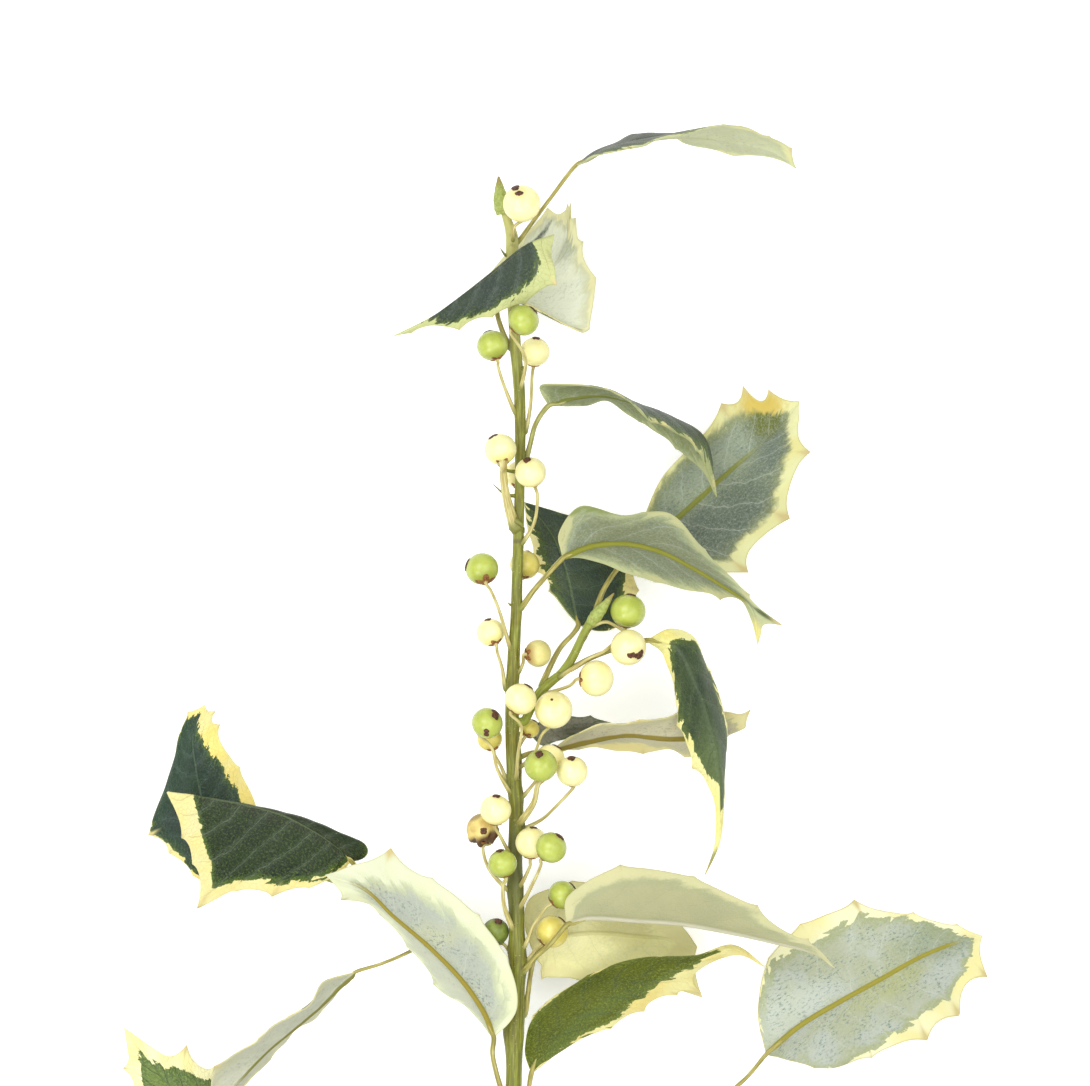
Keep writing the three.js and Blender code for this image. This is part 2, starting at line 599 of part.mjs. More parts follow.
// Where a stalk starts: clear of the stem's bark by SEAT_GAP, on the side that faces its next point,
// or on the end face of the stem.
function seatOn(stemName, y, next, stalkRadius) {
  const { axis, tangent, radius, atEnd } = onStem(stems[stemName], y);
  const towards = next.clone().sub(axis);
  const sideways = towards.clone().addScaledVector(tangent, -towards.dot(tangent)).normalize();
  const outwards = atEnd ? tangent : sideways;
  const bark = axis.clone().addScaledVector(outwards, atEnd ? 0 : radius);
  const slant = next.clone().sub(bark).normalize().dot(outwards);
  const tilt = Math.sqrt(Math.max(0, 1 - slant * slant));
  return bark.addScaledVector(outwards, SEAT_GAP + stalkRadius * tilt);
}

// A line from 0 to 1 over the blade through the base, the margin's points and the tip.
function railOf(leaf, side) {
  const points = side === "mid" ? leaf.mid : [leaf.mid[0], ...leaf[side], leaf.mid.at(-1)];
  return smoothCurve(points.map(toVector));
}

// One ring of a leaf blade: the upper face from left to right, then the underside back.
function bladeRing(leaf, rails, share) {
  const middle = rails.mid.getPoint(share);
  const forward = rails.mid.getTangent(share);
  const margins = {};
  for (const side of ["left", "right"]) {
    const margin = rails[side].getPoint(share);
    const outwards = margin.clone().sub(middle).normalize();
    for (const [place, length] of leaf[`${side}Spines`]) {
      if (place === share) {
        margin.addScaledVector(outwards, length).addScaledVector(forward, length * SPINE_LEAN);
      }
    }
    margins[side] = margin;
  }
  const halfWay = {};
  const halfUp = {};
  for (const [side, sign] of [["left", -1], ["right", 1]]) {
    const half = margins[side].clone().sub(middle);
    halfUp[side] = half.clone().cross(forward).multiplyScalar(sign).normalize();
    halfWay[side] = middle.clone().addScaledVector(half, 0.5);
    halfWay[side].addScaledVector(halfUp[side], half.length() * HALF_CUP);
  }
  const up = halfUp.left.clone().add(halfUp.right).normalize();
  const opening = halfWay.left.distanceTo(halfWay.right);
  const thick = Math.min(BLADE_THICKNESS / 2, opening * FOLD_SHARE);
  const ridge = Math.min(thick + MIDRIB_DEPTH * (1 - share), opening * RIDGE_SHARE);
  return [
    margins.left,
    halfWay.left.clone().addScaledVector(halfUp.left, thick),
    middle.clone().addScaledVector(up, thick),
    halfWay.right.clone().addScaledVector(halfUp.right, thick),
    margins.right,
    halfWay.right.clone().addScaledVector(halfUp.right, -thick),
    middle.clone().addScaledVector(up, -ridge),
    halfWay.left.clone().addScaledVector(halfUp.left, -thick),
  ];
}

// The leaf stalk's rings follow the same order of points as the blade's.
function stalkRing(centre, forward, bladeUp, radius) {
  const across = forward.clone().cross(bladeUp).normalize();
  const up = across.clone().cross(forward).normalize();
  const ring = [];
  for (let k = 0; k < STALK_SIDES; k++) {
    const angle = Math.PI - (2 * Math.PI * k) / STALK_SIDES;
    ring.push(
      centre
        .clone()
        .addScaledVector(across, radius * Math.cos(angle))
        .addScaledVector(up, radius * Math.sin(angle)),
    );
  }
  return ring;
}

function bladeShares(leaf) {
  const spines = [...leaf.leftSpines, ...leaf.rightSpines].map(([place]) => place);
  const even = Array.from({ length: BLADE_STEPS + 1 }, (_, i) =>
    THREE.MathUtils.lerp(BLADE_START, BLADE_END, i / BLADE_STEPS),
  );
  const clear = even.filter((share) => spines.every((place) => Math.abs(place - share) > STATION_GAP));
  return [...new Set([...clear, ...spines])].sort((a, b) => a - b);
}

// A leaf with its stalk is one piece.
function makeLeaf(leaf) {
  const rails = { mid: railOf(leaf, "mid"), left: railOf(leaf, "left"), right: railOf(leaf, "right") };
  const blade = bladeShares(leaf).map((share) => bladeRing(leaf, rails, share));
  const base = toVector(leaf.mid[0]);
  const firstRing = blade[0];
  const bladeUp = firstRing[2].clone().sub(firstRing[6]).normalize();
  const passed = leaf.stalk.map(toVector);
  const seat = seatOn(leaf.stem, leaf.seatY, passed[0], LEAF_STALK_RADIUS);
  const stalk = smoothCurve([seat, ...passed, base, toVector(leaf.mid[1])]);
  const baseShare = (passed.length + 1) / (passed.length + 2);
  const steps = 3 * (passed.length + 1);
  const stalkRings = [];
  for (let i = 0; i <= steps; i++) {
    const share = (baseShare * i) / steps;
    const forward = stalk.getTangent(share);
    stalkRings.push(stalkRing(stalk.getPoint(share), forward, bladeUp, LEAF_STALK_RADIUS));
  }
  return loft([...stalkRings, ...blade], seat, toVector(leaf.mid.at(-1)));
}

// A berry with its stalk is one piece: a thin bar, a calyx and a round fruit.
function makeBerry(berry) {
  const centre = toVector(berry.at);
  const passed = berry.via.map(toVector);
  const seat = seatOn(berry.stem ?? "mainStem", berry.seatY, passed[0], BERRY_STALK_RADIUS);
  const axis = centre.clone().sub(passed.at(-1)).normalize();
  const entry = centre.clone().addScaledVector(axis, -berry.radius);
  const stalk = smoothCurve([seat, ...passed, entry]);
  const steps = 2 * (passed.length + 1);
  const frames = stalk.computeFrenetFrames(steps, false);
  const rings = [];
  for (let i = 0; i <= steps; i++) {
    const radius = i === steps ? CALYX_RADIUS : BERRY_STALK_RADIUS;
    const middle = stalk.getPointAt(i / steps);
    rings.push(ringAround(middle, frames.normals[i], frames.binormals[i], radius, STALK_SIDES));
  }
  const across = frames.normals[steps].clone().projectOnPlane(axis).normalize();
  const up = axis.clone().cross(across);
  for (let i = 1; i < BERRY_BANDS; i++) {
    const angle = (Math.PI * (i + CALYX_SHARE)) / (BERRY_BANDS + CALYX_SHARE);
    const level = centre.clone().addScaledVector(axis, -berry.radius * Math.cos(angle));
    rings.push(ringAround(level, across, up, berry.radius * Math.sin(angle), STALK_SIDES));
  }
  return loft(rings, seat, centre.clone().addScaledVector(axis, berry.radius));
}

// A bud swells from a narrow foot and closes to a point.
function makeBud(bud) {
  const passed = bud.via.map(toVector);
  const seat = seatOn(bud.stem, bud.seatY, passed[0], bud.radius * BUD_FOOT);
  const curve = smoothCurve([seat, ...passed]);
  const ends = (share) => THREE.MathUtils.lerp(BUD_FOOT, BUD_TIP, share);
  const swell = (share) => bud.radius * (ends(share) + (1 - BUD_FOOT) * Math.sin(Math.PI * share));
  return bar(curve, swell, BUD_STEPS, STALK_SIDES);
}

function named(name, geometry, colour) {
  const mesh = new THREE.Mesh(geometry, finish(colour));
  mesh.name = name;
  return mesh;
}

function makeStems() {
  return Object.entries(stems).map(([name, stem]) => {
    const steps = Math.ceil(stem.curve.getLength() / STEM_STEP);
    const nodeName = name.replace(/[A-Z]/g, (letter) => `_${letter.toLowerCase()}`);
    const colour = name === "mainStem" ? COLOURS.wood : COLOURS.twig;
    return named(nodeName, bar(stem.curve, stem.radiusAt, steps, STEM_SIDES), colour);
  });
}

const sprig = new THREE.Group();
sprig.add(...makeStems());
sprig.add(...BUDS.map((bud) => named(bud.name, makeBud(bud), COLOURS.bud)));
sprig.add(...LEAVES.map((leaf) => named(leaf.name, makeLeaf(leaf), COLOURS[leaf.face])));
sprig.add(
  ...BERRIES.map((berry, i) =>
    named(`berry_${String(i + 1).padStart(2, "0")}`, makeBerry(berry), COLOURS[berry.ripe]),
  ),
);

export default sprig;
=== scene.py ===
import bpy
import numpy as np
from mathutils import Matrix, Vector


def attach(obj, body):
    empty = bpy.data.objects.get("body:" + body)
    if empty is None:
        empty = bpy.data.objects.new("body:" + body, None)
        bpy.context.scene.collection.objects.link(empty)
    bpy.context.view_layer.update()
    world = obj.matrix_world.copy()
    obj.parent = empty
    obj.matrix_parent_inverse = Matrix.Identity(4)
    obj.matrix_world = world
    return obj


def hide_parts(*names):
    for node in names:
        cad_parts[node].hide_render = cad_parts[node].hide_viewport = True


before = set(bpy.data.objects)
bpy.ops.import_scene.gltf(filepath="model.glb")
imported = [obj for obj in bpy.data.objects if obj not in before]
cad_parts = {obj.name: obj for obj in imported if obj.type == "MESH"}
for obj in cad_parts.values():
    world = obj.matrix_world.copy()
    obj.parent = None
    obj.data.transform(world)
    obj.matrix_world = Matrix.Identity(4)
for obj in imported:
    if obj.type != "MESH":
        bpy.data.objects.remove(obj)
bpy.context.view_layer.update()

mm = 0.001  # every table below is in millimetres

print("frame loaded:", len(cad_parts), "nodes")


# curves and surfaces, as whole arrays


def unit(vectors):
    # each vector over its own length
    return vectors / np.maximum(np.linalg.norm(vectors, axis=-1, keepdims=True), 1e-9)


def ease(values, low, high):
    # 0 below low, 1 above high, 3t² - 2t³ between
    t = np.clip((values - low) / (high - low), 0, 1)
    return t * t * (3 - 2 * t)


def smoothThrough(points, share):
    # a uniform Catmull-Rom curve: cubic weights of the four nearest points, the ends mirrored
    points = np.array(points, float)
    padded = np.vstack([2 * points[0] - points[1], points, 2 * points[-1] - points[-2]])
    place = np.asarray(share, float) * (len(points) - 1)
    index = np.clip(np.floor(place).astype(int), 0, len(points) - 2)
    t = (place - index)[..., None]
    a, b, c, d = (padded[index + k] for k in range(4))
    bend = 2 * a - 5 * b + 4 * c - d
    twist = 3 * b - a - 3 * c + d
    return (2 * b + (c - a) * t + bend * t**2 + twist * t**3) / 2


def evenly(values, share):
    # values spread evenly over 0 to 1 and read on straight lines between
    return np.interp(share, np.linspace(0, 1, len(values)), values)


def closedSurface(grid, start, end, place, tone, rib=None, finish=0):
    # rings of a grid joined by quads, closed by a fan at each end; ring order × row order faces out
    rows, sides = grid.shape[:2]
    ring = np.arange(sides)
    following = np.roll(ring, -1)
    low = (np.arange(rows - 1) * sides)[:, None]
    corners = [low + ring, low + following, low + sides + following, low + sides + ring]
    quads = np.stack(corners, axis=-1).reshape(-1, 4)
    startIndex, endIndex, last = rows * sides, rows * sides + 1, (rows - 1) * sides
    fans = np.vstack([
        np.stack([np.full(sides, startIndex), following, ring], axis=-1),
        np.stack([np.full(sides, endIndex), last + ring, last + following], axis=-1),
    ])

    def withEnds(values):
        values = np.broadcast_to(values, (rows, sides, 3))
        ends = [values[0].mean(axis=0), values[-1].mean(axis=0)]
        return np.vstack([values.reshape(-1, 3), ends])

    rib = np.zeros(3) if rib is None else rib
    finish = np.broadcast_to(finish, (rows - 1, sides)).ravel()
    fanFinish = np.concatenate([finish[:sides], finish[-sides:]])
    return dict(
        points=np.vstack([grid.reshape(-1, 3), start, end]), quads=quads, fans=fans,
        place=withEnds(place), tone=withEnds(tone), rib=withEnds(rib),
        finish=finish, fanFinish=fanFinish,
    )


def stack(*columns):
    # numbers or arrays side by side as one array of vectors
    return np.stack(np.broadcast_arrays(*columns), axis=-1).astype(float)


def ringsOf(path, sides):
    # across·cos a + up·sin a: the outward direction of every point of a round profile on a path
    forward = unit(np.gradient(path, axis=0))
    away = np.eye(3)[np.argmin(np.abs(forward).max(axis=0))]
    across = unit(np.cross(forward, away))
    up = np.cross(forward, across)
    angle = np.linspace(0, 2 * np.pi, sides, endpoint=False)
    return across[:, None] * np.cos(angle)[:, None] + up[:, None] * np.sin(angle)[:, None], angle


def carried(path, radius, sides, tone=(0, 0, 0), finish=0):
    # a round profile carried along a path: path + r·outwards, with r given for each row or point
    outwards, angle = ringsOf(path, sides)
    radius = np.asarray(radius, float)
    radius = radius[:, None] if radius.ndim == 1 else radius
    grid = path[:, None] + outwards * radius[..., None]
    along = np.concatenate([[0], np.cumsum(np.linalg.norm(np.diff(path, axis=0), axis=1))])
    place = stack(radius * np.cos(angle), radius * np.sin(angle), along[:, None])
    return closedSurface(grid, path[0], path[-1], place, np.asarray(tone, float), finish=finish)


def addPiece(name, surfaces, finishes, nodeName):
    # one mesh of several closed surfaces, riding on the root and standing for its CAD node
    counts = np.cumsum([0] + [len(s["points"]) for s in surfaces])
    faces, finish = [], []
    for s, first in zip(surfaces, counts):
        faces += (s["quads"] + first).tolist() + (s["fans"] + first).tolist()
        finish += [s["finish"], s["fanFinish"]]
    mesh = bpy.data.meshes.new(name)
    mesh.from_pydata((np.vstack([s["points"] for s in surfaces]) * mm).tolist(), [], faces)
    for key in ("place", "tone", "rib"):
        layer = mesh.attributes.new(key, "FLOAT_VECTOR", "POINT")
        layer.data.foreach_set("vector", np.vstack([s[key] for s in surfaces]).astype("f").ravel())
    for material in finishes:
        mesh.materials.append(material)
    mesh.polygons.foreach_set("material_index", np.concatenate(finish).astype("i"))
    mesh.polygons.foreach_set("use_smooth", np.ones(len(faces), bool))
    mesh.update()
    piece = bpy.data.objects.new(name, mesh)
    bpy.context.scene.collection.objects.link(piece)
    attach(piece, "root")
    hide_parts(nodeName)


# shader nodes; the two numbers of each step below are where a tint starts and where it is full


shading = {}  # the material being made, which the next nodes go into


def colour(red, green, blue):
    # a screen colour of 0 to 255 as linear light
    c = np.array([red, green, blue]) / 255
    linear = np.where(c <= 0.04045, c / 12.92, ((c + 0.055) / 1.055) ** 2.4)
    return (*linear.tolist(), 1)


def newFinish(name, look=()):
    # starts a material and returns its look with each screen colour, a triple, as linear light
    shading["material"] = bpy.data.materials.new(name)
    shading["material"].use_nodes = True
    shading["tree"] = shading["material"].node_tree
    shading["tree"].nodes.clear()
    isColour = {key: isinstance(value, tuple) and len(value) == 3 for key, value in dict(look).items()}
    return {key: colour(*value) if isColour[key] else value for key, value in dict(look).items()}


def feed(socket, value):
    # a socket is linked, anything else becomes the value
    if isinstance(value, bpy.types.NodeSocket):
        shading["tree"].links.new(value, socket)
    else:
        socket.default_value = value


def node(kind, inputs=(), **settings):
    # one shader node with its settings and inputs
    made = shading["tree"].nodes.new("ShaderNode" + kind)
    for key, value in settings.items():
        setattr(made, key, value)
    for key, value in dict(inputs).items():
        feed(made.inputs[key], value)
    return made


def maths(operation, first, second=0.0, third=0.0):
    # first + second, first · second and so on; MULTIPLY_ADD is first · second + third
    return node("Math", {0: first, 1: second, 2: third}, operation=operation).outputs[0]


def times(first, second):
    return maths("MULTIPLY", first, second)


def plus(first, second):
    return maths("ADD", first, second)


def step(value, low, high):
    # 0 below low and 1 above high, eased between
    made = node("MapRange", {"Value": value, "From Min": low, "From Max": high},
                interpolation_type="SMOOTHSTEP")
    return made.outputs["Result"]


def blend(share, first, second, mode="MIX"):
    # first · (1 - share) + second · share, or another way of mixing two colours
    made = node("Mix", {}, data_type="RGBA", blend_type=mode)
    for socket, value in ((0, share), (6, first), (7, second)):
        feed(made.inputs[socket], value)
    return made.outputs[2]


def channels(name):
    # the three numbers of one of a piece's attributes
    vector = node("Attribute", attribute_name=name).outputs["Vector"]
    return node("SeparateXYZ", {0: vector}).outputs


def vectorOf(x, y, z=0.0):
    # three numbers as one vector
    return node("CombineXYZ", {0: x, 1: y, 2: z}).outputs[0]


def lengthOf(vector):
    # the square root of x² + y² + z²
    return node("VectorMath", {0: vector}, operation="LENGTH").outputs["Value"]


def noise(vector, scale, detail=2.0, roughness=0.5):
    # clouds of 0 to 1, with finer ones on them
    inputs = {"Vector": vector, "Scale": scale, "Detail": detail, "Roughness": roughness}
    return node("TexNoise", inputs).outputs[0]


def cells(vector, scale):
    # one random number of 0 to 1 for each cell
    made = node("TexVoronoi", {"Vector": vector, "Scale": scale}).outputs["Color"]
    return node("SeparateXYZ", {0: made}).outputs[0]


def centred(value, size):
    # a 0 to 1 value as minus half size to plus half size
    return times(maths("SUBTRACT", value, 0.5), size)


def finishSurface(tint, roughness, height, reach, sheer=0.0, **values):
    # the shader of one finish: gloss over a bumped colour, with a share of light let through
    bump = node("Bump", {"Strength": 1.0, "Distance": reach * mm, "Height": height}).outputs[0]
    inputs = {"Base Color": tint, "Roughness": roughness, "Normal": bump, **values}
    shown = node("BsdfPrincipled", inputs).outputs[0]
    if sheer:
        through = node("BsdfTranslucent", {"Color": tint, "Normal": bump}).outputs[0]
        shown = node("MixShader", {0: sheer, 1: shown, 2: through}).outputs[0]
    node("OutputMaterial", {"Surface": shown})
    return shading["material"]


# stems


stemSizes = dict(
    sides=22, rows=260, twigRows=90,
    cushion=0.34,  # swelling of the bark under each stalk, as a share of the stem's radius
    cushionLength=2.6,
    ripple=0.035,  # unevenness of the bark, as a share of the radius
    rings=[(56, 0.45, 1.6, 0.3), (-68, 1.9, 0.3, 1.5)],  # nodes: height, half width, darkness, swelling
    scarFrom=1.2, scarWidth=0.9,  # the dark line round each stalk
    paintedShadeHeights=(-48, -28, -8, -22), young=(92, 128), twigYoung=0.35,  # heights of the painted shade where the leaves above lie over the stem, and of the paler young bark
    traceRows=600, endRows=6,  # points of a traced stem, and how many of the last count as its end
    rootDepth=0.35, rootRise=0.1,  # where a stalk starts under the bark, and where it leaves it
    twigRoot=[0, 0.4, 0.7],  # how the first points of a twig lead out of the main stem
    stubRows=8, stubRadius=(0.55, 0.08),
)
stems = {
    "main_stem": [(-11, -159, 2.01, 2.15), (-10.6, -125, 8.5, 2.1), (-10.9, -96, 13.5, 2.1),
        (-10.5, -76, 16.6, 2), (-10.4, -67, 17.8, 2.5), (-9.8, -57, 19, 2), (-9.7, -42, 20.5, 1.9),
        (-10.2, -25, 22, 1.85), (-10, -10, 23, 1.7), (-10.9, 4, 23.6, 1.65), (-11, 18, 24, 1.6),
        (-10, 36, 24.6, 1.4), (-9.5, 54, 25, 1.3), (-9, 72, 25.2, 1.25), (-9, 90, 25.5, 1.4),
        (-10.2, 106, 26, 1.4), (-11, 124, 26, 1.5), (-11.2, 132, 26, 1.4), (-12.8, 137.5, 26, 0.9)],
    "right_twig": [(-8, 10.4, 24.3, 1.15), (-6.8, 13, 24.6, 1.1), (-4.4, 17.6, 24.5, 1.1),
        (-1.4, 20.6, 24, 1.1), (1.6, 23.2, 23.5, 1.05), (4.2, 27, 23, 1.05), (6.6, 32, 22.4, 1.05),
        (9.6, 37.6, 22, 1)],
    "left_twig": [(-13.3, -66, 16.8, 1.2), (-20, -54.5, 14, 1.15), (-30, -44.5, 12, 1.1),
        (-42, -35, 11, 1), (-55, -29, 9.5, 0.9), (-67, -26, 8, 0.8)],
    "right_lower_twig": [(-7.3, -120, 10, 1.3), (4, -110.5, 12, 1.2), (19, -99.5, 13.5, 1.1),
        (33, -89.5, 14, 1)],
    "left_lower_twig": [(-13.6, -135, 7, 1.3), (-28, -127, 8.5, 1.2), (-43, -119.5, 9.5, 1.1),
        (-56, -113.5, 10, 1)],
}

stemTrace = {}  # each stem's path, radius and height, for seating what it carries
for stemName, points in stems.items():
    share = np.linspace(0, 1, stemSizes["traceRows"])
    traced = smoothThrough([p[:3] for p in points], share)
    stemTrace[stemName] = dict(path=traced, radius=evenly([p[3] for p in points], share))


def onStem(stemName, height):
    # the point of a stem's axis at a height along the sprig, its direction and its radius there
    trace = stemTrace[stemName]
    path = trace["path"]
    index = np.argmin(np.abs(path[:, 1] - height))
    last = len(path) - 1
    forward = unit(path[min(index + 1, last)] - path[max(index - 1, 0)])
    atEnd = index > last - stemSizes["endRows"] + 1
    return path[index], forward, trace["radius"][index], atEnd


def stalkRoot(stemName, height, following):
    # two points where a stalk grows out: under the bark, and on it, on the side of its next point
    axis, forward, radius, atEnd = onStem(stemName, height)
    towards = np.array(following) - axis
    outwards = forward if atEnd else unit(towards - forward * (towards @ forward))
    reach = 0 if atEnd else radius
    under, leaving = reach * stemSizes["rootDepth"], reach + stemSizes["rootRise"]
    return axis + outwards * under, axis + outwards * leaving


def barkFinish(name, look):
    # streaks that run along the stem, pale pores, dark patches at the scars, a band of painted shade where
    # the leaves above lie over the main stem, and the rings of the cut end
    look = newFinish(name, look)
    x, y, along = channels("place")
    scar, patch, young = channels("tone")
    streaks = noise(vectorOf(x, y, times(along, 0.07)), 1.9, 5, 0.62)
    slow = noise(vectorOf(x, y, along), 0.16, 3)
    fine = noise(vectorOf(x, y, times(along, 0.4)), 4.0, 3)
    tint = blend(step(streaks, 0.38, 0.62), look["dark"], look["base"])
    tint = blend(step(streaks, 0.56, 0.74), tint, look["light"])
    tint = blend(step(slow, 0.42, 0.66), tint, look["warm"], "MULTIPLY")
    tint = blend(times(young, 0.85), tint, look["young"])
    pores = node("TexVoronoi", {"Vector": vectorOf(x, y, along), "Scale": 0.75})
    pore = step(pores.outputs["Distance"], 0.16, 0.08)
    tint = blend(times(pore, 0.55), tint, look["pore"])
    shade = step(plus(scar, centred(fine, 0.7)), 0.25, 0.9)
    tint = blend(times(shade, 0.75), tint, look["scar"])
    # painted shade: the darker band of the main stem where the leaves above shade it
    tint = blend(times(patch, 0.8), tint, look["shade"])
    height = maths("MULTIPLY_ADD", streaks, 0.7, times(fine, 0.4))
    height = maths("MULTIPLY_ADD", pore, 0.35, height)
    roughness = maths("MULTIPLY_ADD", fine, 0.25, look["roughness"])
    return finishSurface(tint, roughness, height, look["relief"])


def cutFinish(name, look):
    # a cut end: pale wood with fine rings, a darker pith and a green rind
    look = newFinish(name, look)
    x, y, _ = channels("place")
    far = lengthOf(vectorOf(x, y))
    grain = noise(vectorOf(x, y), 3.0, 3)
    far = plus(far, centred(grain, 0.25))
    rings = maths("SINE", times(far, 14.0))
    wood = blend(step(rings, -0.6, 0.9), look["wood"], look["ring"])
    tint = blend(step(far, *look["pithEdge"]), look["pith"], wood)
    tint = blend(step(far, *look["rindEdge"]), tint, look["rind"])
    return finishSurface(tint, look["roughness"], grain, look["relief"])


barkLook = dict(
    base=(135, 140, 48), dark=(104, 107, 34), light=(165, 170, 78), warm=(238, 228, 190),
    # shade is the colour of the painted shade on the main stem under the leaves
    shade=(84, 88, 36), young=(186, 184, 112), pore=(180, 180, 118), scar=(92, 84, 42), roughness=0.4,
    relief=0.12,  # height of the bumps in mm
)
twigLook = dict(
    barkLook, base=(142, 154, 46), dark=(118, 128, 36), light=(170, 182, 76), young=(160, 168, 80)
)
cutLook = dict(
    wood=(226, 216, 164), ring=(206, 194, 134), pith=(168, 148, 92), rind=(110, 118, 50),
    pithEdge=(0.35, 0.5), rindEdge=(1.75, 1.9), roughness=0.75, relief=0.1,
)

# small spiny scale leaves and stubs left on the bark: stem, height, where it points and how long it is
stubs = [
    ("main_stem", 67, (-0.95, 0.15, 0.25), 6), ("main_stem", 73, (-0.95, 0.2, 0.25), 6.8),
    ("main_stem", 40, (-0.95, 0.1, 0.3), 1.3), ("main_stem", 98, (0.7, 0.3, 0.6), 2.2),
    ("main_stem", -12, (-0.7, 0.3, 0.6), 1.8), ("main_stem", -38, (-0.8, 0.3, 0.5), 1.8),
    ("main_stem", 126, (-0.8, 0.5, 0.3), 2.4), ("right_twig", 31, (0.8, 0.3, 0.5), 1.4),
]


def carriedBy(stemName):
    # the heights and first points of all the stalks on a stem
    found = [(leaf["seatY"], leaf["stalk"][0]) for leaf in leaves.values() if leaf["stem"] == stemName]
    found += [(b["seatY"], b["via"][0]) for b in berries if b.get("stem", "main_stem") == stemName]
    if stemName == "main_stem":
        found += [(stems[twig][0][1], stems[twig][1][:3]) for twig in twigNames]
    return found


def makeStem(stemName, finishes):
    # the round profile r(1 + cushions + ripple) carried along the stem's path
    isMain = stemName == "main_stem"
    rows = stemSizes["rows"] if isMain else stemSizes["twigRows"]
    share = np.linspace(0, 1, rows)
    points = stems[stemName]
    path = smoothThrough([p[:3] for p in points], share)
    if not isMain:
        root, _ = stalkRoot("main_stem", points[0][1], points[1][:3])
        path[:3] = root + (path[3] - root) * np.array(stemSizes["twigRoot"])[:, None]
    outwards, angle = ringsOf(path, stemSizes["sides"])
    radius = evenly([p[3] for p in points], share)[:, None] * np.ones(stemSizes["sides"])
    swell, scar = np.zeros_like(radius), np.zeros_like(radius)
    for height, following in carriedBy(stemName):
        axis, _, _, atEnd = onStem(stemName, height)
        side = unit(np.array(following) - axis)
        facing = np.clip(outwards @ side, 0, 1) ** 2
        far = np.linalg.norm(path - axis, axis=1)[:, None]
        swell += facing * np.exp(-((far / stemSizes["cushionLength"]) ** 2)) * (not atEnd)
        scar += facing * np.exp(-(((far - stemSizes["scarFrom"]) / stemSizes["scarWidth"]) ** 2))
    along = share[:, None] * rows * 0.9
    ripple = np.sin(3 * angle + along * 0.21)
    ripple = ripple + np.sin(2 * angle - along * 0.13 + 1) * np.cos(along * 0.37)
    radius *= 1 + stemSizes["cushion"] * np.clip(swell, 0, 1.2) + stemSizes["ripple"] * ripple / 2
    for height, reach, dark, wide in stemSizes["rings"] if isMain else []:
        ring = np.exp(-(((path[:, 1] - height) / reach) ** 4))[:, None]
        scar, swell = scar + dark * ring, swell + wide * ring
    low, lowFull, high, highFull = stemSizes["paintedShadeHeights"]
    # patch is the painted shade of the leaves above, between these heights of the main stem
    patch = ease(path[:, 1], low, lowFull) * ease(path[:, 1], high, highFull) if isMain else 0 * share
    young = ease(path[:, 1], *stemSizes["young"]) if isMain else stemSizes["twigYoung"] * share
    tone = stack(np.clip(scar, 0, 1), patch[:, None], young[:, None])
    body = carried(path, radius, stemSizes["sides"], tone)
    body["fanFinish"][: stemSizes["sides"]] = 1
    surfaces = [body] + [makeStub(*stub[1:], stemName) for stub in stubs if stub[0] == stemName]
    addPiece(stemName.replace("_", "."), surfaces, finishes, stemName)


def makeStub(height, pointing, length, stemName):
    # a little spike: a round profile that narrows to its tip
    axis, _, radius, _ = onStem(stemName, height)
    pointing = unit(np.array(pointing))
    start = axis + pointing * radius * 0.7
    bend = np.array([0, 0.35, 0.1]) * length
    rows = stemSizes["stubRows"]
    points = [start, start + pointing * length * 0.5, start + pointing * length + bend]
    path = smoothThrough(points, np.linspace(0, 1, rows))
    tone = (0.9 - 0.1 * length, 0, 0)  # longer ones are greener
    return carried(path, np.linspace(*stemSizes["stubRadius"], rows), rows, tone)


# leaves


leafSizes = dict(
    rows=116, halfColumns=20,
    thickness=0.45, rim=0.3,  # sheet, and the width over which it rounds off at the margin
    cup=0.05,  # how far each half bulges between the midrib and the margin, as a share of its width
    spineLean=0.35, spineLength=1.15, spineFlare=1.4, spineFoot=2.4,  # flanks of a spine, in mm
    quilt=0.16, ruffle=0.4,  # swelling between the side veins, and waves of the margin
    ridge=0.7, ridgeWidth=0.72,  # the midrib on the underside at the base
    groove=0.16,
    veins=9, sweep=0.2,  # side veins, and how far forward they run, as a share of the blade
    ends=(0.006, 0.994), limits=(0.004, 0.996),  # shares of the first and last rows
    spineRows=[-0.018, -0.011, -0.006, -0.003, 0, 0.003, 0.006, 0.011, 0.018],  # rows round a spine
    ribFade=0.25,  # the midrib's width at the tip
    stalkRadius=[1.05, 0.8, 0.64, 0.6, 0.68, 0.5, 0.22], stalkRows=44, stalkSides=14,
    runUnder=[0.05, 0.12], runDepth=0.3,  # where the stalk's end runs on under the midrib
)


def spot(at, size, tint, share):
    # a patch of another colour: its middle as a share of the length and in mm from the midrib
    return dict(at=at, size=size, tint=tint, share=share)


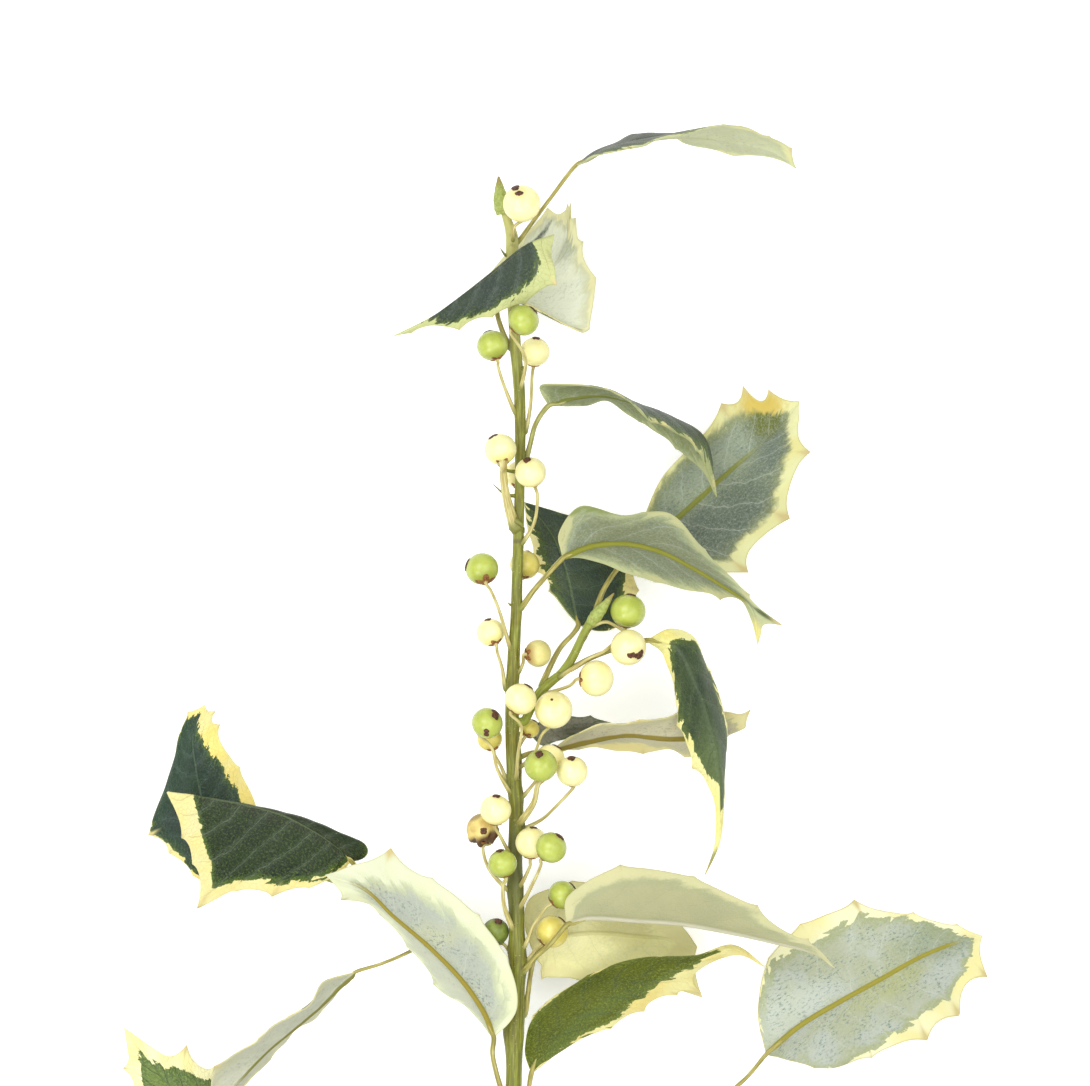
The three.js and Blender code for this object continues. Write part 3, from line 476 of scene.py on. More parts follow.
# rails: the midrib and both margins, base to tip; creams: the pale border's width in mm, base to tip;
# spines: each a share of the margin, a height and sometimes its own lean
leaves = {}
leaves["leaf_top"] = dict(
    stem="main_stem", seatY=130, upperSeen=False, ridge=0.5, stout=0.8,
    leftCream=[0.3, 0.4, 0.6, 0.8, 1.2, 2], rightCream=[0.3, 0.4, 0.6, 0.8, 1, 2],
    upper=dict(cream=(196, 202, 150), green=(60, 68, 46), deep=(50, 58, 40), rib=(120, 134, 100),
        edge=(176, 184, 130), ribShow=0.1),
    under=dict(cream=(210, 214, 168), olive=(196, 202, 158), green=(206, 210, 166), deep=(198, 202, 158),
        rib=(156, 158, 92), edge=(200, 204, 158), soft=0.8, ribShow=0.25, specks=0.45, ribEnd=(0.7, 0.5)),
    stalk=[(-6.6, 134, 24.6), (-1.4, 141, 25)],
    mid=[(4.8, 149, 27), (13.5, 153.4, 26), (23.5, 155.5, 25), (33.5, 156.2, 24), (44.8, 154.8, 23),
        (54, 152.6, 22), (59.8, 148.5, 21)],
    left=[(8.5, 152, 20), (13.5, 153.6, 16), (17, 156.4, 14), (20.5, 157, 14), (27.75, 156.3, 13),
        (33, 155.1, 13), (39.75, 153.2, 13.4), (44.8, 151.8, 14), (54.6, 151.2, 18)],
    right=[(13.5, 152.2, 36), (19.75, 153.5, 36.5), (26, 155, 37), (34.75, 157.9, 36), (42.9, 158.8, 33),
        (50, 157.2, 29), (56, 154.8, 25)],
    leftSpines=[(0.4, 0.6), (0.57, 0.6), (0.8, 1.4)],
    rightSpines=[(0.3, 0.6), (0.6, 0.8), (0.8, 1), (0.93, 2)],
)
leaves["leaf_upper_left_front"] = dict(
    stem="main_stem", seatY=117, upperSeen=True,
    leftCream=[9, 8.5, 7, 4.2, 2.4, 1.2, 0.9, 1.4, 3, 8],
    rightCream=[8, 3, 0.8, 0.7, 0.7, 0.8, 1, 2, 4, 7],
    upper=dict(cream=(198, 206, 142), warm=(202, 206, 140), green=(48, 62, 48), deep=(40, 54, 48),
        vein=(104, 116, 106), edge=(190, 190, 122), veinShow=0.8, ribShow=0.2, deepTo=1.2, haze=0.5),
    patches=[spot((0.45, 9), (0.5, 2.2), (40, 50, 38), 0.6)],
    stalk=[(-6.8, 121, 28.2), (-8, 126, 32)], tucked=True,
    mid=[(-0.4, 131.8, 32.6), (-5, 130.4, 34.2), (-9.4, 128, 35), (-16.5, 122.2, 34.2),
        (-24.5, 116, 31.5), (-32, 110.8, 28), (-40.8, 106.5, 25)],
    left=[(-1.25, 127, 33.2), (-0.75, 121.25, 33.2), (-6.75, 116, 32.4), (-15.5, 112.5, 31),
        (-25, 109.25, 28.5), (-32, 109.25, 26.4)],
    right=[(-4.4, 129.4, 32), (-8.6, 125, 31.6), (-15, 118, 30), (-22.5, 113.6, 28.2),
        (-31, 110.3, 26.6)],
    leftSpines=[(0.13, 0.6), (0.286, 2), (0.45, 0.8), (0.58, 0.8), (0.7, 1.2), (0.93, 1.2)],
    rightSpines=[(0.4, 0.6), (0.6, 0.6), (0.93, 2)],
)
leaves["leaf_upper_left_back"] = dict(
    stem="main_stem", seatY=104, upperSeen=False, ridge=0.25,
    leftCream=[0.8, 0.8, 0.8, 0.9, 1, 2, 4, 8], rightCream=[1, 1, 1, 1.2, 1.4, 2, 4, 8],
    under=dict(cream=(226, 224, 176), warm=(220, 216, 164), olive=(200, 202, 164), green=(228, 231, 205),
        deep=(222, 226, 203), edge=(206, 204, 156), tip=(202, 200, 152), soft=0.5, ribShow=0.15,
        specks=0.35, sheer=0.05),
    patches=[spot((0.68, -3), (0.12, 5), (126, 138, 112), 0.5),
        # the second patch, a thin dark line along the right margin, is painted shadow where the front leaf
        # overlaps this one
        spot((0.47, 10.6), (0.16, 1), (64, 76, 56), 0.9)],
    stalk=[(-13.2, 107.6, 24.6), (-14.5, 111.6, 23)],
    mid=[(-14.8, 115.3, 21), (-11.5, 117.4, 17.5), (-5, 119.8, 14.5), (0, 125, 11.5), (3, 132, 9.5),
        (2.9, 140, 8)],
    left=[(-6.75, 114.5, 18), (6, 108.5, 17), (9.5, 118, 15), (6, 128, 11.5), (4, 133, 10),
        (3.25, 137, 9)],
    right=[(-17.25, 121, 15.5), (-11.5, 128.25, 11), (-6.5, 133.5, 8.5), (-2.5, 137.75, 7.5),
        (0.5, 137.5, 7.6), (2.25, 138.25, 7.8)],
    leftSpines=[(0.262, 1.6), (0.31, 0.6), (0.47, 0.8), (0.6, 1.2), (0.72, 2.2), (0.84, 2.6)],
    rightSpines=[(0.4, 0.6), (0.58, 0.8)],
)
leaves["leaf_upper_right"] = dict(
    stem="main_stem", seatY=75.4, upperSeen=False, ridge=0.6,
    leftCream=[0.8, 0.8, 0.8, 0.8, 1, 1.2, 2], rightCream=[1, 0.8, 0.6, 0.6, 0.8, 1, 2],
    upper=dict(cream=(160, 168, 112), green=(56, 70, 48), deep=(48, 62, 48), vein=(110, 122, 100),
        edge=(150, 158, 104), tip=(180, 186, 132)),
    under=dict(cream=(192, 200, 152), warm=(196, 200, 150), olive=(158, 170, 118), green=(150, 158, 104),
        deep=(134, 144, 92), rib=(128, 134, 62), edge=(184, 192, 138), tip=(190, 194, 140), soft=0.7,
        specks=0.3, sheer=0.32),
    stalkTint=dict(base=(160, 162, 92), root=(124, 132, 62)),
    stalk=[(-6.5, 79.6, 24.4), (-5, 85, 26.8)],
    mid=[(-2, 89.3, 29), (4.8, 91.3, 29), (12.3, 91.8, 28), (21, 89.6, 26), (29, 86.6, 24),
        (37.3, 81, 21.4), (40, 66.6, 18)],
    left=[(4.8, 89.4, 21), (12.3, 90.2, 18.4), (20.5, 86, 17.8), (28, 80.5, 17.4), (35.6, 74.2, 17)],
    right=[(-3.2, 94.4, 33), (12.3, 93.6, 37), (21, 87.4, 36), (28, 83.6, 33), (35.8, 77.6, 26)],
    leftSpines=[(0.5, 0.8), (0.7, 1)], rightSpines=[(0.35, 0.8), (0.56, 1), (0.8, 1.4)],
)
leaves["leaf_right_back"] = dict(
    stem="right_twig", seatY=37.6, upperSeen=False, ridge=0.7,
    leftCream=[3.4, 3.4, 3, 2.8, 2.8, 3, 3.2, 4], rightCream=[0.5, 0.6, 0.7, 0.9, 1.6, 2.6, 3.4, 3.4],
    under=dict(cream=(228, 230, 176), warm=(228, 224, 154), olive=(146, 154, 104), green=(146, 158, 126),
        deep=(122, 134, 116), vein=(196, 204, 186), rib=(134, 140, 60), edge=(206, 200, 132),
        speck=(84, 102, 90), veinShow=0.4, specks=0.65, soft=0.9, ribEnd=(0.72, 0.5), jag=1.2, cells=1.0),
    patches=[spot((0.36, -9), (0.26, 9), (84, 98, 82), 0.75),
        spot((0.72, -6), (0.2, 6), (92, 106, 92), 0.6), spot((0.5, 4), (0.24, 4), (168, 180, 152), 0.5),
        spot((0.77, 3.4), (0.13, 5.5), (102, 110, 36), 1.0)],
    creamPatches=[spot((0.8, 6), (0.2, 6), (212, 188, 84), 0.9)],
    stalk=[(11.8, 43.5, 19.5), (15.5, 49, 17)],
    mid=[(20.5, 53.8, 14.5), (27.3, 59, 13), (34.8, 65.5, 12), (42.3, 72.3, 11), (51, 79.8, 10),
        (56.5, 85.5, 9), (60.8, 90.8, 8)],
    left=[(37.3, 48, 9), (48, 53.5, 5), (56.6, 66, 1.85), (60.3, 78.5, 4), (60.4, 85, 6)],
    right=[(21.8, 61, 14), (25.5, 70, 14), (33, 78.8, 13), (44.8, 88.3, 11), (52.3, 90, 9.5)],
    leftSpines=[(0.26, 4), (0.45, 3.6), (0.65, 3)], rightSpines=[(0.63, 3), (0.74, 4.2), (0.88, 3)],
)
leaves["leaf_right_front"] = dict(
    stem="main_stem", seatY=39, upperSeen=False, ridge=0.75,
    leftCream=[0.8, 1.4, 2, 1.6, 1.4, 1.6, 3, 7, 9], rightCream=[2.2, 2.6, 1.6, 1.4, 1.2, 1.2, 1.4, 4, 8],
    under=dict(cream=(196, 204, 156), warm=(204, 204, 152), olive=(166, 176, 130), green=(142, 150, 110),
        deep=(136, 145, 114), rib=(146, 148, 52), edge=(214, 214, 160), speck=(108, 122, 98), soft=0.9,
        specks=0.35, sheer=0.25, ribEnd=(0.82, 0.7)),
    creamPatches=[spot((0.785, 3), (0.035, 2), (74, 92, 50), 0.9),
        spot((0.22, 10.6), (0.1, 1.6), (132, 148, 76), 0.8),
        spot((0.97, 0), (0.1, 4), (240, 232, 150), 0.9)],
    stalk=[(-5.6, 43.4, 27.6), (-1.6, 48, 29.6)],
    mid=[(1.5, 51.3, 31), (4.3, 52.7, 32), (9.3, 54.5, 33.4), (17.3, 55, 34), (26, 53, 33.5),
        (34.8, 48.5, 31.5), (43, 43.5, 29), (47.6, 40.2, 27), (49.6, 36, 25), (50.2, 29.8, 23)],
    left=[(5.5, 51.5, 30.5), (11, 50.25, 28), (18.5, 47.75, 25), (28, 44.4, 24), (35.6, 43.3, 24.5),
        (41.4, 42.3, 25.4), (46.2, 40.6, 25), (48.6, 36, 24)],
    right=[(1, 58, 29.5), (6, 64.6, 28), (16.5, 62.2, 27), (28, 62.4, 26.5), (36.8, 53.8, 26.5),
        (44.6, 45.6, 27.5), (48.4, 41.2, 26.6), (50.5, 37.6, 25.4), (51.1, 33.6, 24)],
    leftSpines=[(0.4, 0.6), (0.66, 2.2)],
    rightSpines=[(0.34, 0.6), (0.5, 0.6), (0.66, 0.8), (0.8, 11, -0.45)],
)
leaves["leaf_mid_back"] = dict(
    stem="right_twig", seatY=19.5, upperSeen=True,
    leftCream=[-0.5, -0.5, -0.2, 1.2, 1.6, 1.6, 1.2, 0.6],
    rightCream=[-1, -1, 1.4, 2.6, -0.5, -1, -1, -1],
    upper=dict(green=(58, 72, 50), deep=(50, 66, 56), vein=(100, 118, 96), veinShow=0.55),
    stalk=[(0.6, 28.5, 20.5), (4, 32.4, 19.5)],
    mid=[(5.5, 34.6, 18.5), (4.2, 41, 15.5), (2.5, 48.5, 13), (-0.3, 56, 12), (-4, 61.5, 12),
        (-8, 65.5, 12)],
    left=[(0.8, 40.3, 15.5), (-2.2, 46, 12), (-4.6, 51.5, 10.5), (-7, 58.5, 11)],
    right=[(14, 33.8, 14), (19, 43.5, 10.5), (16, 54.8, 9), (3.5, 61.6, 11)],
    leftSpines=[(0.3, 1), (0.5, 1.6), (0.6, 1.8)],
    rightSpines=[(0.25, 1.2), (0.4, 2), (0.6, 1.5), (0.8, 1)],
)
leaves["leaf_hanging"] = dict(
    stem="right_twig", seatY=24.6, upperSeen=True,
    leftCream=[7, 4, 1.4, 1.2, 1.2, 1, 1.6, 6, 6], rightCream=[7, 3, 1, 0.8, 2, 3.6, 5, 6, 6],
    upper=dict(cream=(240, 236, 168), warm=(238, 228, 140), green=(56, 74, 44), deep=(46, 62, 42),
        vein=(112, 126, 92), rib=(110, 124, 84), edge=(232, 226, 138), veinShow=0.35, ribShow=0.15),
    patches=[spot((0.6, 1), (0.2, 5), (96, 114, 70), 0.8)],
    creamPatches=[spot((0.02, 4), (0.12, 6), (208, 208, 142), 0.8),
        spot((0.93, 0), (0.05, 3), (120, 130, 66), 0.7), spot((1, 0), (0.06, 3), (206, 186, 112), 0.9)],
    stalk=[(8.6, 26.6, 22.4), (15, 29, 22.4)],
    mid=[(22.3, 31, 25), (30, 29, 29), (34.8, 19.8, 29), (38.3, 9.8, 27.5), (40.3, -0.3, 25.5),
        (40.8, -9, 23.5), (40.5, -19, 21.5), (37, -27.6, 20)],
    left=[(28.6, 34, 25.8), (34.6, 31, 25), (38.8, 22, 22.5), (41.8, 11.5, 20.5), (42.2, 1.8, 20.5),
        (41.6, -9, 21.5), (40.8, -18.5, 20.6)],
    right=[(27, 27.2, 26), (29, 19.8, 23.4), (31.3, 9.8, 22), (35, -0.3, 21.4), (39.3, -8.6, 22.5),
        (39.5, -19.5, 20.8)],
    leftSpines=[(0.36, 1), (0.52, 0.8)], rightSpines=[(0.42, 1.4), (0.57, 1.8)],
)
leaves["leaf_mid_right"] = dict(
    stem="main_stem", seatY=1.5, upperSeen=False, ridge=0.8,
    leftCream=[0.3, 0.6, 4.5, 4, 0.5, 0.5, 1, 2], rightCream=[0.4, 0.3, 0.3, 0.4, 0.6, 1.4, 4],
    under=dict(cream=(228, 222, 166), warm=(226, 214, 148), olive=(198, 194, 148), green=(206, 198, 160),
        # its rib colour, dark and drawn wide by ribReach, is the olive midrib with painted shade beside it
        deep=(198, 192, 158), rib=(138, 124, 50), edge=(214, 208, 162), speck=(118, 116, 96), soft=0.7,
        ribEnd=(0.78, 0.6), ribReach=2.0),
    stalk=[(-6, 3, 20.6)],
    mid=[(-1.5, 3.3, 18.5), (7.3, 5.5, 17.5), (17.3, 7.3, 17), (27.3, 6.3, 16), (36, 6.5, 14.5),
        (42.3, 7.8, 13.5), (47.3, 9.3, 12)],
    left=[(6.5, 4.3, 10), (16, 3.3, 7), (26, 3.8, 6), (34, 2.2, 6), (42, 6.4, 9)],
    right=[(6.5, 8.8, 23), (16, 10.3, 24), (27.3, 12, 20), (36, 13.3, 16), (44.5, 12.8, 13.4)],
    leftSpines=[(0.25, 0.6), (0.42, 2), (0.62, 1.4), (0.8, 1)],
    rightSpines=[(0.4, 0.8), (0.56, 0.8), (0.7, 1), (0.93, 2.6)],
)
leaves["leaf_behind_berries"] = dict(
    stem="main_stem", seatY=6, upperSeen=True,
    leftCream=[-1], rightCream=[-1],
    upper=dict(green=(152, 150, 136), deep=(138, 136, 126), edge=(112, 114, 92), tip=(112, 114, 92),
        ribShow=0.2, rimGrit=0.0),
    stalk=[(-9.6, 7.4, 18.6)],
    mid=[(-7, 8, 16), (-2, 8.8, 14.2), (4, 9.8, 13), (9.5, 10, 12), (15.3, 10, 11.5)],
    left=[(-1.8, 12.4, 14), (4, 12, 12), (9.5, 11.5, 11.4)],
    right=[(-3, 4.8, 12), (4, 7.2, 11), (9.5, 8.5, 10.8)],
    leftSpines=[(0.4, 0.6), (0.7, 0.6)], rightSpines=[(0.5, 0.6)],
)
leaves["leaf_lower_right_front"] = dict(
    stem="main_stem", seatY=-51.5, upperSeen=False, ridge=0.55,
    leftCream=[0.8], rightCream=[3.4, 3.2, 3, 2.4, 1.6, 1.2, 1.6, 3],
    under=dict(cream=(222, 222, 176), warm=(224, 222, 176), olive=(194, 198, 150), green=(206, 204, 154),
        # its whitish rib colour is a painted highlight along the glossy raised midrib
        deep=(198, 198, 150), vein=(198, 198, 152), rib=(218, 216, 186), edge=(220, 218, 176), soft=0.9,
        jag=1.6, cells=1.2, specks=0.12, veinShow=0.2, sheer=0.35),
    stalk=[(-5.2, -47.9, 23.8), (-1.4, -44.4, 26)],
    mid=[(2.5, -39.8, 28), (8.5, -38, 31), (19.8, -38.7, 33), (31, -39.5, 33.5), (42.3, -41.5, 32),
        (53.5, -44, 29), (63.5, -46.6, 26.5), (69.5, -50.5, 24)],
    left=[(8.7, -37.4, 23), (19.8, -38, 22), (31, -38.8, 22), (42.3, -41, 21.5), (53.5, -43.6, 22),
        (63.2, -46.4, 23.6)],
    right=[(3.2, -32, 28.6), (15.5, -25.8, 28), (31, -27, 28), (44.8, -33, 28), (56.8, -41, 27.5),
        (64.6, -45.2, 26)],
    leftSpines=[(0.4, 0.8), (0.6, 0.8)], rightSpines=[(0.29, 0.9), (0.46, 0.5), (0.62, 1), (0.8, 0.8)],
)
leaves["leaf_lower_right_back"] = dict(
    stem="main_stem", seatY=-62, upperSeen=False, ridge=0.5,
    leftCream=[2, 2.4, 3, 3, 4, 9, 10], rightCream=[0.6, 0.6, 0.8, 1, 2.4, 6, 12],
    under=dict(cream=(226, 222, 164), warm=(226, 220, 162), olive=(236, 232, 168), green=(240, 236, 180),
        deep=(232, 228, 166), vein=(206, 202, 146), rib=(176, 172, 100), edge=(196, 188, 120), soft=0.9,
        specks=0.15, sheer=0.05, ribShow=0.4, veinShow=0.2),
    patches=[spot((0.62, 1), (0.16, 5), (176, 168, 90), 0.5)],
    stalk=[(-7, -57, 18.2), (-6.4, -52.4, 17.4)],
    mid=[(-5.4, -47.8, 16.2), (-1.6, -44, 14.2), (2.6, -42.6, 13.2), (11, -42, 12), (19.8, -42.8, 11),
        (27.3, -43.5, 10), (35.3, -45.5, 9)],
    left=[(-4, -49.8, 13.6), (-2.6, -52.6, 12.4), (6.8, -53.4, 10.4), (19, -53.8, 9.4), (32, -54.6, 8.6)],
    right=[(-7.8, -40, 13.6), (-5.6, -32.6, 12.6), (8.5, -29.5, 9.6), (21, -32.8, 8.6),
        (30.5, -39.4, 8.4)],
    leftSpines=[(0.31, 1.6), (0.5, 1), (0.833, 3, 1.0)],
    rightSpines=[(0.45, 0.8), (0.6, 0.8), (0.8, 1.2)],
)
leaves["leaf_lower_right_dark"] = dict(
    stem="main_stem", seatY=-91, upperSeen=True,
    leftCream=[-1, -1, -1, 0.8, 0.9, 0.3, -0.5, -0.5, 1, 8, 10],
    rightCream=[0.2, 0.4, 0.5, 0.8, 1.6, 3.4, 4.6, 3, 4, 8, 10],
    upper=dict(cream=(232, 226, 160), warm=(228, 212, 130), olive=(100, 114, 50), green=(88, 95, 20),
        deep=(76, 85, 20), edge=(212, 198, 100), grit=(136, 150, 62), gritShare=0.6, ribShow=0.0,
        veinShow=0.12, specular=0.2, roughness=0.5),
    patches=[spot((0.3, 3), (0.35, 2.6), (96, 112, 52), 0.6)],
    creamPatches=[spot((0.66, 11), (0.06, 4), (186, 168, 108), 0.9)],
    stalk=[(-7.4, -85, 15.6), (-6.7, -80, 17.2)],
    mid=[(-6.2, -77, 18.4), (-3.4, -70, 20.4), (4.8, -62, 22.4), (14, -56, 23.6), (23.5, -52, 23.6),
        (33.5, -49.2, 22.4), (44.6, -46, 20), (52, -50.3, 17)],
    left=[(-7.9, -70.6, 18.2), (-6.4, -64.6, 18.4), (-2.6, -59.4, 18.6), (8, -52.4, 19),
        (22.3, -48.1, 19.6), (34.6, -47.4, 20), (43.9, -44.8, 19.6)],
    right=[(0.2, -72.2, 18.4), (8, -67.4, 17.6), (18, -62.6, 17.6), (27.3, -56.4, 18), (35, -51.4, 18.6),
        (44.8, -47.3, 18.4)],
    leftSpines=[(0.3, 0.6), (0.5, 0.6)], rightSpines=[(0.36, 0.8), (0.47, 1.6), (0.58, 2.2), (0.64, 6)],
)
leaves["leaf_far_right"] = dict(
    stem="right_lower_twig", seatY=-89.5, upperSeen=False, ridge=0.7, stout=0.85,
    leftCream=[-1, -1, -0.6, 1.4, 3.4, 3, 3.4, 5], rightCream=[0.2, 0.4, 0.8, 5, 3.4, 1.4, 2.6, 5],
    under=dict(cream=(240, 240, 200), warm=(238, 232, 166), olive=(168, 176, 130), green=(182, 188, 156),
        deep=(190, 197, 184), rib=(162, 154, 60), edge=(206, 192, 116), speck=(104, 130, 122), specks=0.9,
        jag=1.8, cells=2.2, soft=0.12, ribEnd=(0.88, 0.78)),
    patches=[spot((0.8, 3), (0.24, 8), (146, 158, 118), 0.7),
        spot((0.52, -3), (0.18, 5), (182, 186, 112), 0.6),
        spot((0.2, 5), (0.24, 7), (206, 214, 204), 0.6)],
    stalk=[(46.2, -79.2, 14.6)],
    mid=[(52.3, -72.3, 14.6), (61, -65, 14.6), (71, -59, 14.2), (81, -53.5, 13), (91, -48, 11),
        (99.8, -44.5, 9), (106.5, -42.8, 7)],
    left=[(58.5, -74, 10), (69.8, -75.6, 6.5), (83.5, -70.6, 4), (95.5, -63.5, 2.33), (103.6, -52.4, 3)],
    right=[(50.3, -60.3, 11), (54.8, -46.2, 8.6), (68.5, -37, 7), (83.5, -36.8, 6), (96, -39.5, 6)],
    leftSpines=[(0.26, 0.6), (0.44, 1), (0.6, 3), (0.72, 4), (0.87, 4)],
    rightSpines=[(0.3, 0.4), (0.42, 0.8), (0.572, 2), (0.742, 1), (0.9, 0.8)],
)
leaves["leaf_lower_left_front"] = dict(
    stem="main_stem", seatY=-85, upperSeen=False, ridge=0.7,
    leftCream=[1.5, 2.6, 3.4, 3.6, 4, 4.4, 5, 6], rightCream=[0.3, 0.3, 0.5, 1, 1.4, 2, 4, 6],
    under=dict(cream=(228, 233, 202), warm=(228, 232, 192), olive=(204, 212, 172), green=(197, 202, 170),
        deep=(185, 192, 176), rib=(160, 146, 54), edge=(222, 222, 176), speck=(104, 122, 120), specks=1.0,
        speckFade=0.8, soft=1.0),
    # this paler patch on the right half of the blade is painted light, lifting the shade the lamps leave on
    # that half
    patches=[spot((0.45, 7), (0.5, 5), (208, 213, 188), 0.8)],
    stalk=[(-14.6, -77.6, 20.4), (-15.8, -72, 22.4)],
    mid=[(-15.5, -68, 24), (-18, -61.5, 26.4), (-23.5, -53.5, 28), (-31.5, -45.3, 28), (-40.3, -37.8, 27),
        (-47.8, -30.8, 25), (-57.5, -27.3, 22)],
    left=[(-9.6, -60.5, 25.6), (-12.2, -48.3, 25.6), (-19.5, -37.8, 25), (-31.5, -28.3, 23.4),
        (-45.3, -24.3, 22.4)],
    right=[(-21, -61.8, 19.6), (-28.3, -55.8, 18.4), (-35.8, -46.6, 18.2), (-43.3, -37, 19),
        (-51.4, -33, 21)],
    leftSpines=[(0.34, 0.5), (0.5, 0.8), (0.66, 0.6), (0.79, 3.4)],
    rightSpines=[(0.36, 1.2), (0.52, 0.8), (0.66, 1), (0.83, 2.4)],
)
leaves["leaf_far_left_front"] = dict(
    stem="left_twig", seatY=-33.5, upperSeen=True,
    leftCream=[1.6, 1.4, 2, 2.6, 3.2, 5, 7.5, 10, 12], rightCream=[-1, -1, -1, -1, -1, 0, 3, 8, 12],
    upper=dict(cream=(232, 224, 162), warm=(236, 222, 146), olive=(70, 92, 32), green=(27, 43, 16),
        deep=(21, 34, 18), vein=(104, 118, 94), grit=(96, 118, 54), gritShare=0.5, veinShow=0.7,
        ribShow=0.5, jag=1.6, cells=1.6, rimGrit=0.6, haze=0.35, specular=0.25),
    patches=[spot((0.45, 1), (0.5, 4), (46, 48, 38), 0.6)],
    stalk=[(-48, -28, 14.4)],
    mid=[(-51, -24, 17), (-54.3, -20.7, 18.4), (-60.5, -16.3, 20.4), (-68.5, -12.3, 22), (-78, -9.8, 22),
        (-88, -8, 20.4), (-97, -6.8, 17)],
    left=[(-54, -27, 17), (-60.5, -30, 16.4), (-69, -30.75, 15), (-79, -31, 12.6), (-86, -32.5, 9.8),
        (-89.75, -24.5, 12), (-92.5, -16.5, 14.4)],
    right=[(-48.2, -23.6, 16.6), (-46.9, -21.4, 16.4), (-48.6, -19.2, 16.4), (-55, -16.8, 17),
        (-65, -14.3, 15), (-76.5, -12.8, 14), (-86.5, -10.5, 13.6)],
    leftSpines=[(0.26, 0.8), (0.37, 3), (0.5, 0.8), (0.625, 4.6), (0.76, 0.8), (0.87, 1.8)],
    rightSpines=[(0.5, 1), (0.7, 1)],
)
leaves["leaf_far_left_upright"] = dict(
    stem="left_twig", seatY=-26, upperSeen=True,
    leftCream=[1, 0.8, 0.8, 0.8, 0.5, -1, -1, -1, 0, 3],
    rightCream=[2, 2.2, 2.6, 3.2, 3.4, 3.4, 3.4, 3, 3],
    upper=dict(cream=(234, 226, 156), warm=(242, 222, 128), olive=(70, 92, 44), green=(40, 64, 48),
        deep=(34, 54, 46), vein=(92, 114, 104), rib=(92, 112, 92), jag=1.2, cells=1.4, deepTo=1.2,
        haze=0.4),
    stalk=[(-73.5, -26, 7.4)],
    mid=[(-79, -25.4, 6.6), (-83.5, -19, 6.4), (-87.8, -10.3, 7), (-90, -0.3, 9), (-90.5, 7.3, 12),
        (-87.5, 15, 15)],
    left=[(-86, -30, 4.4), (-92.5, -25, 3), (-97.8, -19.5, 2), (-100.6, -14.5, 1.9), (-97.6, -5.5, 4.4),
        (-95.2, 2, 7.6), (-92.8, 10, 11.4)],
    right=[(-74, -19, 4.6), (-75.3, -9.5, 5.4), (-79.4, -1.2, 7), (-83, 4.4, 9.6), (-86.3, 10.4, 12.4)],
    leftSpines=[(0.2, 0.8), (0.32, 1.2), (0.44, 2.4), (0.93, 1.6)],
    rightSpines=[(0.5, 0.6), (0.78, 1.6), (0.885, 1.8)],
)
leaves["leaf_low_left_narrow"] = dict(
    stem="left_twig", seatY=-43, upperSeen=False, stout=0.7,
    leftCream=[0.4], rightCream=[0.4, 0.5, 0.6, 0.8],
    under=dict(cream=(208, 206, 168), olive=(198, 198, 162), green=(200, 202, 176), deep=(190, 192, 168),
        rib=(132, 130, 62), edge=(204, 202, 164), speck=(124, 122, 100), soft=0.6, specks=0.4),
    stalk=[(-36.4, -46.6, 12.6), (-43.4, -49.6, 13.4)],
    mid=[(-49.8, -51.6, 14), (-54, -55.3, 14), (-59, -60.3, 13.4), (-65.3, -65.8, 12.4),
        (-72, -71.5, 11.8), (-79, -79, 11), (-85.3, -86.5, 9.6)],
    left=[(-57.6, -54.3, 20), (-63.2, -61, 21.6), (-70.2, -65, 21.6), (-77.6, -70.8, 19.6),
        (-85.6, -77.8, 14)],
    right=[(-53.6, -56.4, 7.6), (-58.6, -61.6, 5.4), (-64.6, -66.6, 4.4), (-70.4, -72, 5.4),
        (-76, -79, 7.4)],
    leftSpines=[(0.4, 0.8), (0.58, 0.8), (0.77, 1.8)], rightSpines=[(0.3, 0.8), (0.5, 0.8), (0.7, 1)],
)
leaves["leaf_low_left_edge"] = dict(
    stem="left_lower_twig", seatY=-113.5, upperSeen=True,
    leftCream=[1, 1.4, 2, 2.4, 3, 3], rightCream=[1, 1.4, 2, 2.4, 3, 3],
    upper=dict(cream=(246, 242, 190), warm=(240, 232, 160), green=(106, 126, 56), deep=(86, 106, 50),
        grit=(130, 156, 76), gritShare=0.8, jag=1.0, cells=1.0),
    stalk=[(-61, -111, 10)],
    mid=[(-66, -108, 9), (-74, -101, 7), (-83, -93, 5), (-92, -85, 4), (-100, -76.5, 3),
        (-108, -65.8, 2.2)],
    left=[(-87.8, -104, 3), (-97.8, -96.5, 0.68), (-104, -87.8, 1), (-106, -77.4, 1.2)],
    right=[(-73, -90.6, 4.6), (-79.4, -81.6, 2.8), (-87.8, -76.2, 2), (-97.8, -72.8, 2)],
    leftSpines=[(0.3, 1.6), (0.46, 2), (0.62, 2), (0.82, 1.6)],
    rightSpines=[(0.4, 2), (0.55, 1.4), (0.71, 3.4)],
)


def marginSpines(leaf, side, share, length):
    # each spine is a cusp (1 - d)³ of the distance d from its place, in widths of its foot; it leans
    # forwards by a share of its height
    reach, forwards, sharp = (np.zeros_like(share) for _ in range(3))
    for place, height, *lean in leaf[side + "Spines"]:
        foot = leafSizes["spineFoot"] + leafSizes["spineFlare"] * min(height, 3.5)
        near = np.clip(1 - np.abs(share - place) * length / foot, 0, 1)
        cusp = height * leafSizes["spineLength"] * near**3
        reach += cusp
        forwards += cusp * (lean[0] if lean else leafSizes["spineLean"])
        sharp = np.maximum(sharp, near**9 * min(1, height / 2))
    return reach, forwards, sharp


def bladeRows(leaf):
    # even rows, and close ones at each spine
    places = np.array([spine[0] for spine in leaf["leftSpines"] + leaf["rightSpines"]])
    close = places[:, None] + np.array(leafSizes["spineRows"])
    even = np.linspace(*leafSizes["ends"], leafSizes["rows"])
    rows = np.concatenate([even, close.ravel()])
    return np.unique(np.clip(np.round(rows, 3), *leafSizes["limits"]))


